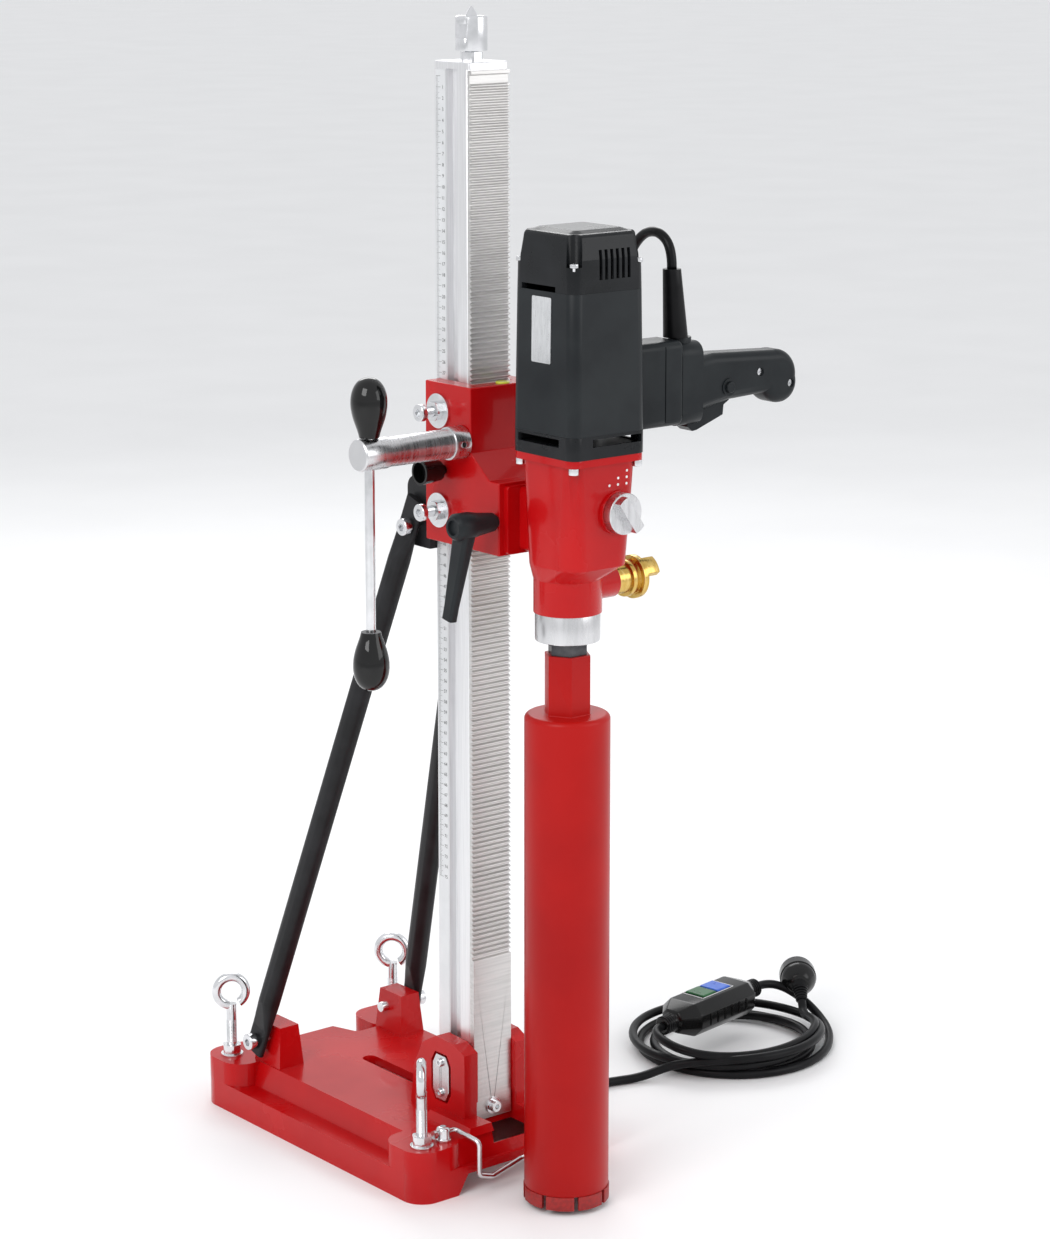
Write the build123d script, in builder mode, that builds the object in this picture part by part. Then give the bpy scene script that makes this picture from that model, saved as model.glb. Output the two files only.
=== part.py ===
from build123d import *
import os
from math import acos, cos, pi, radians, sin, tan

os.makedirs("parts", exist_ok=True)

# Core drill rig on its stand, in millimetres.
# The origin is on the floor, under the middle of the anchor slot.
# +X points to the drill's hand grip, +Y to the back of the base, +Z up.

# ---------------------------------------------------------------- dimensions
base_width = 238.0
base_front = -180.0
base_back = 177.0
base_height = 50.0
ledge_height = 27.0
plate_half_width = 89.0
plate_thickness = 9.0
pad_width = 58.0
pad_length = 60.0
slot_length = 125.0
slot_width = 15.0
screw_x = 100.0
screw_front_y = -161.0
screw_back_y = 151.0

column_front = -135.0
column_width = 45.0
column_depth = 48.0
column_bottom = 46.5
column_top = 1036.5
cap_height = 6.5
groove_mouth = 16.0
groove_floor = 13.0
groove_depth = 6.5
groove_offset = 22.0

rack_module = 1.5
rack_thickness = 6.0
rack_first_tooth = 211.0
rack_screw_z = 60.0
pressure_angle = radians(25)

carriage_half_width = 38.5
carriage_bottom = 606.0
carriage_top = 754.0
crank_z = 704.0
roller_heights = (636.0, 728.0)

strut_foot = (95.0, 112.0, 75.0)
strut_head = (35.5, -69.0, 628.0)
strut_bolt_z = 614.0

spindle_y = -250.0
motor_y = -265.0
motor_width = 85.0
flange_bottom = 701.0
motor_bottom = 707.5
ring_top = 728.0
cover_bottom = 853.0
cover_top = 903.0
nose_bottom = 560.0
collar_bottom = 534.0
bit_top = 521.0
bit_bottom = 5.0
bit_radius = 39.0
bit_bore_radius = 36.3

cord_radius = 4.5
running_fit = 0.05
loose_fit = 0.3

# ------------------------------------------------------------ derived places
base_length = base_back - base_front
base_mid = (base_back + base_front) / 2
column_back = column_front + column_depth
column_mid = (column_front + column_back) / 2
groove_y = column_front + groove_offset
half_column = column_width / 2
rack_tip = column_front - rack_thickness
rack_pitch = pi * rack_module
rack_pitch_line = rack_tip + 1.35
pinion_teeth = 10
pinion_radius = rack_module * pinion_teeth / 2
pinion_y = rack_pitch_line - pinion_radius - 0.1
carriage_front = column_front - 24.0
block_front = column_front - 65.0
sides = (-1, 1)
all_screws = [(x, y) for x in (-screw_x, screw_x) for y in (screw_front_y, screw_back_y)]


# ------------------------------------------------------------------- helpers
def facing_x(x, y, z, toward=1):
    """Plane with its normal along +X or -X."""
    return Plane(origin=(x, y, z), x_dir=(0, toward, 0), z_dir=(toward, 0, 0))


def facing_front(x, y, z):
    """Plane with its normal along -Y and its own x axis along +X."""
    return Plane(origin=(x, y, z), x_dir=(1, 0, 0), z_dir=(0, -1, 0))


def round_bar(plane, radius, length):
    """Plain cylinder that starts on the plane."""
    with BuildPart() as bar:
        with BuildSketch(plane):
            Circle(radius)
        extrude(amount=length)
    return bar.part


def hex_nut(plane, across_flats, bore_radius, height):
    """Hexagon nut that stands on the plane."""
    with BuildPart() as nut:
        with BuildSketch(plane):
            RegularPolygon(across_flats / 2, 6, major_radius=False)
            Circle(bore_radius, mode=Mode.SUBTRACT)
        extrude(amount=height)
        with BuildSketch(plane):
            Circle(across_flats / 2 * 1.09)
        extrude(amount=height, mode=Mode.INTERSECT)
    return nut.part


def washer(plane, radius, bore_radius, height):
    """Flat washer that lies on the plane."""
    with BuildPart() as ring:
        with BuildSketch(plane):
            Circle(radius)
            Circle(bore_radius, mode=Mode.SUBTRACT)
        extrude(amount=height)
    return ring.part


def socket_screw(plane, head_radius, head_height, shank_radius, shank_length):
    """Socket head screw: the head stands on the plane and the shank goes below it."""
    with BuildPart() as screw:
        with BuildSketch(plane):
            Circle(head_radius)
        extrude(amount=head_height)
        chamfer(screw.edges().filter_by(GeomType.CIRCLE), length=0.08 * head_radius)
        with BuildSketch(plane.offset(head_height)):
            RegularPolygon(head_radius * 0.5, 6)
        extrude(amount=-0.55 * head_height, mode=Mode.SUBTRACT)
        with BuildSketch(plane):
            Circle(shank_radius)
        extrude(amount=-shank_length)
    return screw.part


def involute(angle):
    return tan(angle) - angle


def gear_face(module, teeth, phase, tip=0.87, root=1.15, backlash=0.25):
    """Spur gear outline with involute flanks; one tooth points along phase degrees."""
    pitch_radius = module * teeth / 2
    base_radius = pitch_radius * cos(pressure_angle)
    tip_radius = pitch_radius + tip * module
    root_radius = pitch_radius - root * module
    half_tooth = (pi * module / 2 - backlash) / 2 / pitch_radius
    flank = []
    start = max(base_radius, root_radius)
    for step in range(5):
        radius = start + (tip_radius - start) * step / 4
        turn = involute(pressure_angle) - involute(acos(min(1, base_radius / radius)))
        flank.append((radius, half_tooth + turn))
    if root_radius < base_radius:
        flank.insert(0, (root_radius, flank[0][1]))
    points = []
    for tooth in range(teeth):
        middle = radians(phase) + 2 * pi * tooth / teeth
        for radius, spread in flank:
            points.append((radius * cos(middle - spread), radius * sin(middle - spread)))
        for radius, spread in reversed(flank):
            points.append((radius * cos(middle + spread), radius * sin(middle + spread)))
    with BuildSketch() as outline:
        with BuildLine():
            Polyline(*points, close=True)
        make_face()
    return outline.sketch


# ---------------------------------------------------------------------- base
def back_notch(side):
    """Gap in the back edge between the middle tongue and a corner pad."""
    return [(side * 30, base_back + 1), (side * 30, base_back - 17), (side * 40, base_back - 46),
            (side * 62, base_back - 46), (side * 70, base_back + 1)]


with BuildPart() as base_casting:
    with BuildSketch():
        with Locations((0, base_mid)):
            RectangleRounded(base_width, base_length, 22)
        for side in sides:
            with BuildLine():
                Polyline(*back_notch(side), close=True)
            make_face(mode=Mode.SUBTRACT)
        with Locations((0, base_back)):
            Rectangle(62, 34, mode=Mode.SUBTRACT)
    extrude(amount=ledge_height)
    with BuildSketch(Plane.XY.offset(ledge_height)):
        with Locations((0, (base_front + 4 + base_back - 17) / 2)):
            Rectangle(2 * plate_half_width + 16, base_length - 21)
        for side in sides:
            with BuildLine():
                Polyline(*back_notch(side), close=True)
            make_face(mode=Mode.SUBTRACT)
    extrude(amount=base_height - ledge_height, taper=16)
    with BuildSketch(Plane.XY.offset(ledge_height)):
        with Locations((0, base_mid)):
            with GridLocations(base_width - pad_width, base_length - pad_length, 2, 2):
                RectangleRounded(pad_width, pad_length, 21.5)
    extrude(amount=base_height - ledge_height)
    with BuildSketch():
        with Locations((0, base_mid - 8)):
            Rectangle(base_width - 22, base_length - 90)
    extrude(amount=ledge_height - plate_thickness, mode=Mode.SUBTRACT)
    with BuildSketch():
        with Locations((0, base_mid - 8)):
            Rectangle(2 * plate_half_width - 14, base_length - 74)
        with Locations((0, base_mid - 30)):
            Rectangle(110, base_length - 82)
    extrude(amount=base_height - plate_thickness, mode=Mode.SUBTRACT)
    with BuildSketch(Plane.XZ.offset(-base_front + 1)):
        with BuildLine():
            Polyline((-72, -1), (-60, 19), (60, 19), (72, -1), close=True)
        make_face()
    extrude(amount=-24, mode=Mode.SUBTRACT)
    for side in sides:
        with BuildSketch(Plane.XY.offset(base_height)):
            with Locations((side * 74.5, 105.5)):
                Rectangle(29, 43)
        extrude(amount=41, taper=5)
        with BuildSketch(facing_x(side * 22.8, 0, 0)):
            with BuildLine():
                Polyline(
                    (column_front - 12, base_height - 4), (column_front - 12, 119),
                    (column_front + 4, 126), (column_front + 32, 127), (column_front + 52, 116),
                    (column_front + 66, 90), (column_front + 72, base_height - 4), close=True)
            make_face()
        extrude(amount=side * 16)
        with BuildSketch(Plane.XY.offset(base_height)):
            with Locations((side * 36, column_front - 3)):
                Rectangle(34, 70)
        extrude(amount=7, taper=30)
    with BuildSketch(Plane.XY.offset(base_height - 20)):
        with Locations((0, column_front - 20)):
            Rectangle(48, 34)
    extrude(amount=40, mode=Mode.SUBTRACT)
    with BuildSketch(Plane.XY.offset(38)):
        with Locations((0, base_front + 8)):
            Rectangle(48, 24)
    extrude(amount=20, mode=Mode.SUBTRACT)
    with BuildSketch(Plane.XY.offset(column_bottom)):
        with Locations((0, column_mid - 3)):
            Rectangle(column_width + 0.6, column_depth + 6.6)
    extrude(amount=100, mode=Mode.SUBTRACT)
    with BuildSketch():
        with Locations((0, 0)):
            SlotOverall(slot_length, slot_width, rotation=90)
        with Locations(*all_screws):
            Circle(5 + running_fit)
    extrude(amount=base_height + 1, mode=Mode.SUBTRACT)
    for side in sides:
        with BuildSketch(facing_x(side * 39, column_front + 24, 88)):
            Polygon((-9, -24), (9, -24), (15, -14), (15, 14), (9, 24), (-9, 24), (-15, 14), (-15, -14))
        extrude(amount=-side * 5, mode=Mode.SUBTRACT)
        with BuildSketch(facing_x(side * 90, strut_foot[1], strut_foot[2])):
            Circle(5.1)
        extrude(amount=-side * 40, mode=Mode.SUBTRACT)
        with BuildSketch(facing_x(side * 39, column_front + 24, 88)):
            with GridLocations(0.1, 30, 1, 2):
                Circle(3.05)
        extrude(amount=-side * 16, mode=Mode.SUBTRACT)
base_casting.part.label = "base_casting"
export_step(base_casting.part, "parts/base_casting.step")

# -------------------------------------------------------------------- column
with BuildPart() as column:
    with BuildSketch(Plane.XY.offset(column_bottom)):
        with Locations((0, column_mid)):
            Rectangle(column_width, column_depth)
        fillet(vertices(), 1.5)
        for side in sides:
            with BuildLine():
                Polyline(
                    (side * (half_column + 1), groove_y - groove_mouth / 2),
                    (side * half_column, groove_y - groove_mouth / 2),
                    (side * (half_column - groove_depth), groove_y - groove_floor / 2),
                    (side * (half_column - groove_depth), groove_y + groove_floor / 2),
                    (side * half_column, groove_y + groove_mouth / 2),
                    (side * (half_column + 1), groove_y + groove_mouth / 2), close=True)
            make_face(mode=Mode.SUBTRACT)
        with Locations((-half_column, column_back - 9.5)):
            Rectangle(0.8, 15, mode=Mode.SUBTRACT)
        with Locations((0, groove_y)):
            RectangleRounded(24, 22, 3, mode=Mode.SUBTRACT)
        with Locations((0, column_back - 8)):
            RectangleRounded(34, 9, 2, mode=Mode.SUBTRACT)
        with Locations((0, column_front + 6)):
            RectangleRounded(34, 5, 2, mode=Mode.SUBTRACT)
    extrude(amount=column_top - column_bottom)
    with BuildSketch(facing_front(0, column_front, 0)):
        with Locations((0, rack_screw_z)):
            Circle(3.05)
    extrude(amount=-8, mode=Mode.SUBTRACT)
column.part.label = "column"
export_step(column.part, "parts/column.step")

with BuildPart() as scale_strip:
    with BuildSketch(Plane.XY.offset(column_bottom + 40)):
        with Locations((-half_column + 0.1, column_back - 9.5)):
            Rectangle(0.5, 14.6)
    extrude(amount=column_top - column_bottom - 41)
scale_strip.part.label = "scale_strip"
export_step(scale_strip.part, "parts/scale_strip.step")

with BuildPart() as column_cap:
    with BuildSketch(Plane.XY.offset(column_top)):
        with Locations((0, column_mid - 1.5)):
            RectangleRounded(column_width, column_depth + 3, 2)
        with Locations((0, groove_y)):
            Circle(6 + running_fit, mode=Mode.SUBTRACT)
    extrude(amount=cap_height)
    chamfer(column_cap.faces().sort_by(Axis.Z)[-1].outer_wire().edges(), length=0.8)
column_cap.part.label = "column_cap"
export_step(column_cap.part, "parts/column_cap.step")


# ---------------------------------------------------------------------- rack
def rack_outline():
    """Side view of the rack in (y, z): a flat bar with trapezoid teeth on its front."""
    root_y = rack_pitch_line + 1.65
    half_tip = rack_pitch / 4 - 0.1 - (rack_pitch_line - rack_tip) * tan(pressure_angle)
    half_root = rack_pitch / 4 - 0.1 + (root_y - rack_pitch_line) * tan(pressure_angle)
    first = crank_z + (0.5 - round((crank_z - rack_first_tooth) / rack_pitch)) * rack_pitch
    count = int((column_top - 8 - first) / rack_pitch)
    points = [(column_front, column_bottom + 2), (rack_tip, column_bottom + 2)]
    points.append((rack_tip, first - rack_pitch))
    points.append((root_y, first - rack_pitch + 1))
    for tooth in range(count):
        middle = first + tooth * rack_pitch
        points.append((root_y, middle - half_root))
        points.append((rack_tip, middle - half_tip))
        points.append((rack_tip, middle + half_tip))
        points.append((root_y, middle + half_root))
    top = column_top - 1
    points.append((root_y, top - 4))
    points.append((rack_tip, top - 3))
    points.append((rack_tip, top))
    points.append((column_front, top))
    return points


with BuildPart() as gear_rack:
    with BuildSketch(facing_x(-half_column + 0.2, 0, 0)):
        with BuildLine():
            Polyline(*rack_outline(), close=True)
        make_face()
    extrude(amount=column_width - 0.4)
    with BuildSketch(facing_front(0, rack_tip, 0)):
        with Locations((0, rack_screw_z)):
            Circle(3.05)
    extrude(amount=-10, mode=Mode.SUBTRACT)
gear_rack.part.label = "gear_rack"
export_step(gear_rack.part, "parts/gear_rack.step")

# ------------------------------------------------------- fasteners of the stand
clamp_y = column_front + 24
clamp_z = 88.0

with BuildPart() as stand_fasteners:
    add(washer(facing_front(0, rack_tip, rack_screw_z), 8, 3.2, 1.5))
    add(socket_screw(facing_front(0, rack_tip - 1.55, rack_screw_z), 5.5, 5, 3, 12))
    for side in sides:
        for z in (clamp_z - 15, clamp_z + 15):
            add(socket_screw(facing_x(side * 39.5, clamp_y, z, side), 4, 2.5, 3, 15))
        add(socket_screw(facing_x(side * 100.2, strut_foot[1], strut_foot[2], side), 8, 8, 5, 45))
        add(socket_screw(facing_x(side * 42, strut_head[1], strut_bolt_z, side), 8, 8, 5, 23))
        add(hex_nut(facing_x(side * 15.8, strut_head[1], strut_bolt_z, side), 15, 5.1, 8))
    for x, y in all_screws:
        add(washer(Plane((x, y, base_height)), 11, 5 + running_fit, 2))
        add(hex_nut(Plane((x, y, base_height + 2.05)), 17, 5 + running_fit, 9))
    add(hex_nut(Plane((0, groove_y, column_top + cap_height)), 19, 6 + running_fit, 8))
stand_fasteners.part.label = "stand_fasteners"
export_step(stand_fasteners.part, "parts/stand_fasteners.step")

with BuildPart() as clamp_plates:
    for side in sides:
        with BuildSketch(facing_x(side * 34.2, clamp_y, clamp_z)):
            Polygon((-7, -22), (7, -22), (12, -13), (12, 13), (7, 22), (-7, 22), (-12, 13), (-12, -13))
            with GridLocations(0.1, 30, 1, 2):
                Circle(3.05, mode=Mode.SUBTRACT)
        extrude(amount=side * 5.2)
clamp_plates.part.label = "clamp_plates"
export_step(clamp_plates.part, "parts/clamp_plates.step")

# ---------------------------------------------------------------- jack screw
jack_head = column_top + cap_height + 9.3

with BuildPart() as jack_screw:
    with BuildSketch(Plane((0, groove_y, jack_head - 76))):
        Circle(6)
    extrude(amount=76)
    with BuildSketch(Plane((0, groove_y, jack_head))):
        Circle(14.5)
    extrude(amount=31)
    chamfer(jack_screw.faces().sort_by(Axis.Z)[-1].edges(), length=1.2)
    with BuildSketch(Plane((0, groove_y, jack_head + 11))):
        Rectangle(40, 40)
        Rectangle(24, 40, mode=Mode.SUBTRACT)
    extrude(amount=13, mode=Mode.SUBTRACT)
    with BuildSketch(Plane((0, groove_y, jack_head + 31))):
        Circle(6)
    extrude(amount=8.5, taper=32)
jack_screw.part.label = "jack_screw"
export_step(jack_screw.part, "parts/jack_screw.step")

# ---------------------------------------------------------- levelling screws
ring_height = 116.0
ring_radius = 14.5
wire_radius = 4.6
ring_turns = {"front_left": 52, "front_right": 20, "back_left": -28, "back_right": -45}
ring_places = {
    "front_left": (-screw_x, screw_front_y), "front_right": (screw_x, screw_front_y),
    "back_left": (-screw_x, screw_back_y), "back_right": (screw_x, screw_back_y)}

for corner, (x, y) in ring_places.items():
    turn = radians(ring_turns[corner])
    ring_plane = Plane((x, y, ring_height), x_dir=(cos(turn), sin(turn), 0), z_dir=(sin(turn), -cos(turn), 0))
    start = ring_plane.from_local_coords(Vector(ring_radius * cos(radians(-100)), ring_radius * sin(radians(-100))))
    with BuildPart() as levelling_screw:
        with BuildLine(ring_plane) as ring_path:
            CenterArc((0, 0), ring_radius, -100, -318)
        with BuildSketch(Plane(start, z_dir=ring_path.line % 0)):
            Circle(wire_radius)
        sweep(path=ring_path.line)
        with BuildSketch(Plane((x, y, 1))):
            Circle(5)
        extrude(amount=ring_height - ring_radius - 1 + 1.5)
        chamfer(levelling_screw.faces().sort_by(Axis.Z)[0].edges(), length=1)
    levelling_screw.part.label = "levelling_screw_" + corner
    export_step(levelling_screw.part, "parts/levelling_screw_" + corner + ".step")

# ------------------------------------------------------------ centre pointer
pointer_pivot = (-76.0, column_front - 27.0, 58.0)
pointer_y = base_front - 11.0
pointer_route = [
    (-84.5, pointer_pivot[1], 58), (-62, pointer_pivot[1], 58), (-56, pointer_y, 52),
    (-56, pointer_y, 20), (-40, pointer_y, 15), (-6, pointer_y, 24), (20, pointer_y, 24)]

with BuildPart() as pointer_clamp:
    with BuildSketch(Plane((pointer_pivot[0], pointer_pivot[1], base_height + 0.1))):
        Circle(8)
    extrude(amount=3)
    with BuildSketch(Plane((pointer_pivot[0], pointer_pivot[1], base_height + 3.1))):
        Circle(6.5)
    extrude(amount=11)
    fillet(pointer_clamp.faces().sort_by(Axis.Z)[-1].edges(), radius=4)
    with BuildSketch(facing_x(pointer_pivot[0] - 20, pointer_pivot[1], pointer_pivot[2])):
        Circle(2.5 + loose_fit)
    extrude(amount=40, mode=Mode.SUBTRACT)
pointer_clamp.part.label = "pointer_clamp"
export_step(pointer_clamp.part, "parts/pointer_clamp.step")

with BuildPart() as centre_pointer:
    with BuildLine() as pointer_path:
        FilletPolyline(*pointer_route, radius=5)
    with BuildSketch(Plane(pointer_path.line @ 0, z_dir=pointer_path.line % 0)):
        Circle(2.5)
    sweep(path=pointer_path.line)
    with BuildSketch(facing_x(pointer_route[0][0], pointer_pivot[1], 58)):
        Circle(4)
    extrude(amount=-3)
    with BuildSketch(facing_x(18, pointer_y, 24)):
        Circle(2.3)
    extrude(amount=8, taper=13)
centre_pointer.part.label = "centre_pointer"
export_step(centre_pointer.part, "parts/centre_pointer.step")

# -------------------------------------------------------------------- struts
with BuildPart() as strut_bracket:
    with BuildSketch(Plane.XY.offset(594)):
        with Locations((0, column_back + 4.1)):
            Rectangle(60, 8)
        for side in sides:
            with Locations((side * 27, column_back + 17)):
                Rectangle(6, 34)
    extrude(amount=66)
    for side in sides:
        with BuildSketch(facing_x(side * 40, strut_head[1], strut_bolt_z)):
            Circle(5.1)
        extrude(amount=-side * 30, mode=Mode.SUBTRACT)
    fillet(strut_bracket.edges().filter_by(Axis.X).group_by(Axis.Y)[-1], radius=12)
strut_bracket.part.label = "strut_bracket"
export_step(strut_bracket.part, "parts/strut_bracket.step")

with BuildPart() as struts:
    for side in sides:
        foot = Vector(side * strut_foot[0], strut_foot[1], strut_foot[2])
        head = Vector(side * strut_head[0], strut_head[1], strut_head[2])
        run = head - foot
        length = run.length
        along = Plane(foot, x_dir=(1, 0, 0), z_dir=run)
        with BuildSketch(along.offset(-13)):
            RectangleRounded(7, 25, 3.4)
        extrude(amount=28)
        with BuildSketch(along.offset(15)):
            RectangleRounded(7, 25, 3.4)
        with BuildSketch(along.offset(45)):
            RectangleRounded(20, 21, 9)
        loft()
        with BuildSketch(along.offset(45)):
            RectangleRounded(20, 21, 9)
        extrude(amount=length - 95)
        with BuildSketch(along.offset(length - 50)):
            RectangleRounded(20, 21, 9)
        with BuildSketch(along.offset(length - 25)):
            RectangleRounded(7, 25, 3.4)
        loft()
        with BuildSketch(along.offset(length - 25)):
            RectangleRounded(7, 25, 3.4)
        extrude(amount=37)
        with BuildSketch(along.offset(60)):
            RectangleRounded(16, 17, 7)
        extrude(amount=length - 125, mode=Mode.SUBTRACT)
        with BuildSketch(facing_x(side * strut_foot[0], strut_foot[1] - 10, strut_foot[2] + 60)):
            Circle(2)
        extrude(amount=side * 20, mode=Mode.SUBTRACT)
        for x, y, z in (strut_foot, (strut_head[0], strut_head[1], strut_bolt_z)):
            with BuildSketch(facing_x(side * (x - 12), y, z)):
                Circle(5.1)
            extrude(amount=side * 24, mode=Mode.SUBTRACT)
struts.part.label = "struts"
export_step(struts.part, "parts/struts.step")

# ------------------------------------------------------------------ carriage
lever_y = column_front - 60.7
lever_z = 638.0
lock_y = column_front + 15.0
lock_z = 674.5
channel_half = half_column + 0.5
block_top = 673.0

with BuildPart() as carriage_housing:
    with BuildSketch(facing_x(-carriage_half_width, 0, 0)):
        with BuildLine():
            Polyline(
                (column_front + 43, carriage_bottom), (column_front + 43, carriage_top),
                (carriage_front, carriage_top), (carriage_front, 695), (column_front - 51, block_top),
                (block_front, block_top), (block_front, carriage_bottom),
                close=True)
        make_face()
        fillet(vertices(), 1.5)
    extrude(amount=2 * carriage_half_width)
    fillet(carriage_housing.faces().filter_by(Axis.X).edges(), radius=1.2)
    with BuildSketch(Plane.XY.offset(carriage_bottom - 1)):
        with Locations((0, column_front + 18)):
            Rectangle(2 * channel_half, 52)
    extrude(amount=carriage_top - carriage_bottom + 2, mode=Mode.SUBTRACT)
    with BuildSketch(Plane.XY.offset(carriage_bottom - 1)):
        with Locations((6, column_front - 36)):
            RectangleRounded(48, 40, 4)
    extrude(amount=56, mode=Mode.SUBTRACT)
    with BuildSketch(facing_x(-16.5, pinion_y, crank_z)):
        Circle(9.6)
    extrude(amount=33, mode=Mode.SUBTRACT)
    with BuildSketch(facing_x(-carriage_half_width - 1, pinion_y, crank_z)):
        Circle(9.05)
    extrude(amount=2 * carriage_half_width + 2, mode=Mode.SUBTRACT)
    with BuildSketch(facing_x(-carriage_half_width - 1, groove_y, 0)):
        with Locations(*[(0, height) for height in roller_heights]):
            Circle(5.1)
    extrude(amount=2 * carriage_half_width + 2, mode=Mode.SUBTRACT)
    with BuildSketch(facing_x(-carriage_half_width - 1, lock_y, lock_z)):
        Circle(4 + running_fit)
    extrude(amount=20, mode=Mode.SUBTRACT)
    with BuildSketch(facing_x(-carriage_half_width - 1, lever_y, lever_z)):
        Circle(4 + running_fit)
    extrude(amount=26, mode=Mode.SUBTRACT)
    with BuildSketch(Plane((5, column_front - 16, carriage_top))):
        Circle(6.6)
    extrude(amount=-6, mode=Mode.SUBTRACT)
carriage_housing.part.label = "carriage_housing"
export_step(carriage_housing.part, "parts/carriage_housing.step")

with BuildPart() as mount_plate:
    with BuildSketch(facing_front(0, block_front - 0.1, 639)):
        RectangleRounded(66, 62, 3)
    extrude(amount=6)
mount_plate.part.label = "mount_plate"
export_step(mount_plate.part, "parts/mount_plate.step")

with BuildPart() as spirit_level:
    with BuildSketch(Plane((5, column_front - 16, carriage_top - 5.8))):
        Circle(6.5)
    extrude(amount=7.4)
    fillet(spirit_level.faces().sort_by(Axis.Z)[-1].edges(), radius=1)
spirit_level.part.label = "spirit_level"
export_step(spirit_level.part, "parts/spirit_level.step")

# ------------------------------------------------------------- guide rollers
roller_inner = half_column - groove_depth + 0.9
roller_outer = half_column - 0.2

with BuildPart() as roller_axles:
    for side in sides:
        for height in roller_heights:
            add(round_bar(facing_x(side * roller_inner, groove_y, height, side), 4, 6))
            add(round_bar(facing_x(side * 22.75, groove_y, height, side), 5, 34.3))
            add(socket_screw(facing_x(side * 57, groove_y, height, side), 8, 6, 5, 1))
            add(washer(facing_x(side * 38.6, groove_y, height, side), 16, 5.1, 2.5))
            add(hex_nut(facing_x(side * 41.15, groove_y, height, side), 17, 5.1, 6))
roller_axles.part.label = "roller_axles"
export_step(roller_axles.part, "parts/roller_axles.step")

roller_names = {(-1, 636.0): "lower_left", (-1, 728.0): "upper_left",
                (1, 636.0): "lower_right", (1, 728.0): "upper_right"}

for (side, height), place in roller_names.items():
    with BuildPart() as guide_roller:
        with BuildSketch(facing_x(side * roller_inner, groove_y, height, side)):
            Circle(6.4)
        with BuildSketch(facing_x(side * roller_outer, groove_y, height, side)):
            Circle(7.6)
        loft()
        with BuildSketch(facing_x(side * roller_inner, groove_y, height, side)):
            Circle(4 + running_fit)
        extrude(amount=10, mode=Mode.SUBTRACT)
    guide_roller.part.label = "guide_roller_" + place
    export_step(guide_roller.part, "parts/guide_roller_" + place + ".step")

# --------------------------------------------------------------------- crank
bar_x = -143.0
hub_end = -156.0

with BuildPart() as pinion_shaft:
    with BuildSketch(facing_x(-15, pinion_y, crank_z)):
        add(gear_face(rack_module, pinion_teeth, 0))
    extrude(amount=30)
    with BuildSketch(facing_x(-80, pinion_y, crank_z)):
        Circle(6)
    extrude(amount=117)
    chamfer(pinion_shaft.faces().sort_by(Axis.X)[-1].edges(), length=1)
pinion_shaft.part.label = "pinion_shaft"
export_step(pinion_shaft.part, "parts/pinion_shaft.step")

with BuildPart() as crank_hub:
    for start, end, radius in ((-39.5, -56, 15), (-56, -127, 13.5), (-127, hub_end, 14.5)):
        with BuildSketch(facing_x(start, pinion_y, crank_z, -1)):
            Circle(radius)
        extrude(amount=start - end)
    chamfer(crank_hub.faces().sort_by(Axis.X)[0].edges(), length=1.2)
    with BuildSketch(facing_x(-39, pinion_y, crank_z, -1)):
        Circle(6.05)
    extrude(amount=41.5, mode=Mode.SUBTRACT)
    with BuildSketch(Plane((bar_x, pinion_y, crank_z - 20))):
        Circle(4.5 + running_fit)
    extrude(amount=40, mode=Mode.SUBTRACT)
    with BuildSketch(facing_front(-48, pinion_y, crank_z)):
        Circle(2.5)
    extrude(amount=20, mode=Mode.SUBTRACT)
crank_hub.part.label = "crank_hub"
export_step(crank_hub.part, "parts/crank_hub.step")

knob_length = 54.0
knob_radius = 16.5
upper_knob_z = crank_z + 15.0
lower_knob_z = 543.0

with BuildPart() as crank_bar:
    with BuildSketch(Plane((bar_x, pinion_y, lower_knob_z - 30))):
        Circle(4.5)
    extrude(amount=upper_knob_z + 30 - lower_knob_z + 30)
crank_bar.part.label = "crank_bar"
export_step(crank_bar.part, "parts/crank_bar.step")

with BuildPart() as crank_knobs:
    for base_z, up in ((upper_knob_z, 1), (lower_knob_z, -1)):
        with BuildSketch(Plane((bar_x, pinion_y, base_z), x_dir=(1, 0, 0), z_dir=(0, -up, 0))):
            with BuildLine():
                Line((0, 0), (9, 0))
                Spline((9, 0), (13.4, 14), (knob_radius, 33), (11.5, 48.5), (0, knob_length),
                       tangents=[(0.2, 1), (-1, 0)])
                Line((0, knob_length), (0, 0))
            make_face()
        revolve(axis=Axis((bar_x, pinion_y, base_z), (0, 0, 1)))
        with BuildSketch(Plane((bar_x, pinion_y, base_z))):
            Circle(4.6)
        extrude(amount=up * 30.5, mode=Mode.SUBTRACT)
crank_knobs.part.label = "crank_knobs"
export_step(crank_knobs.part, "parts/crank_knobs.step")

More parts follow.
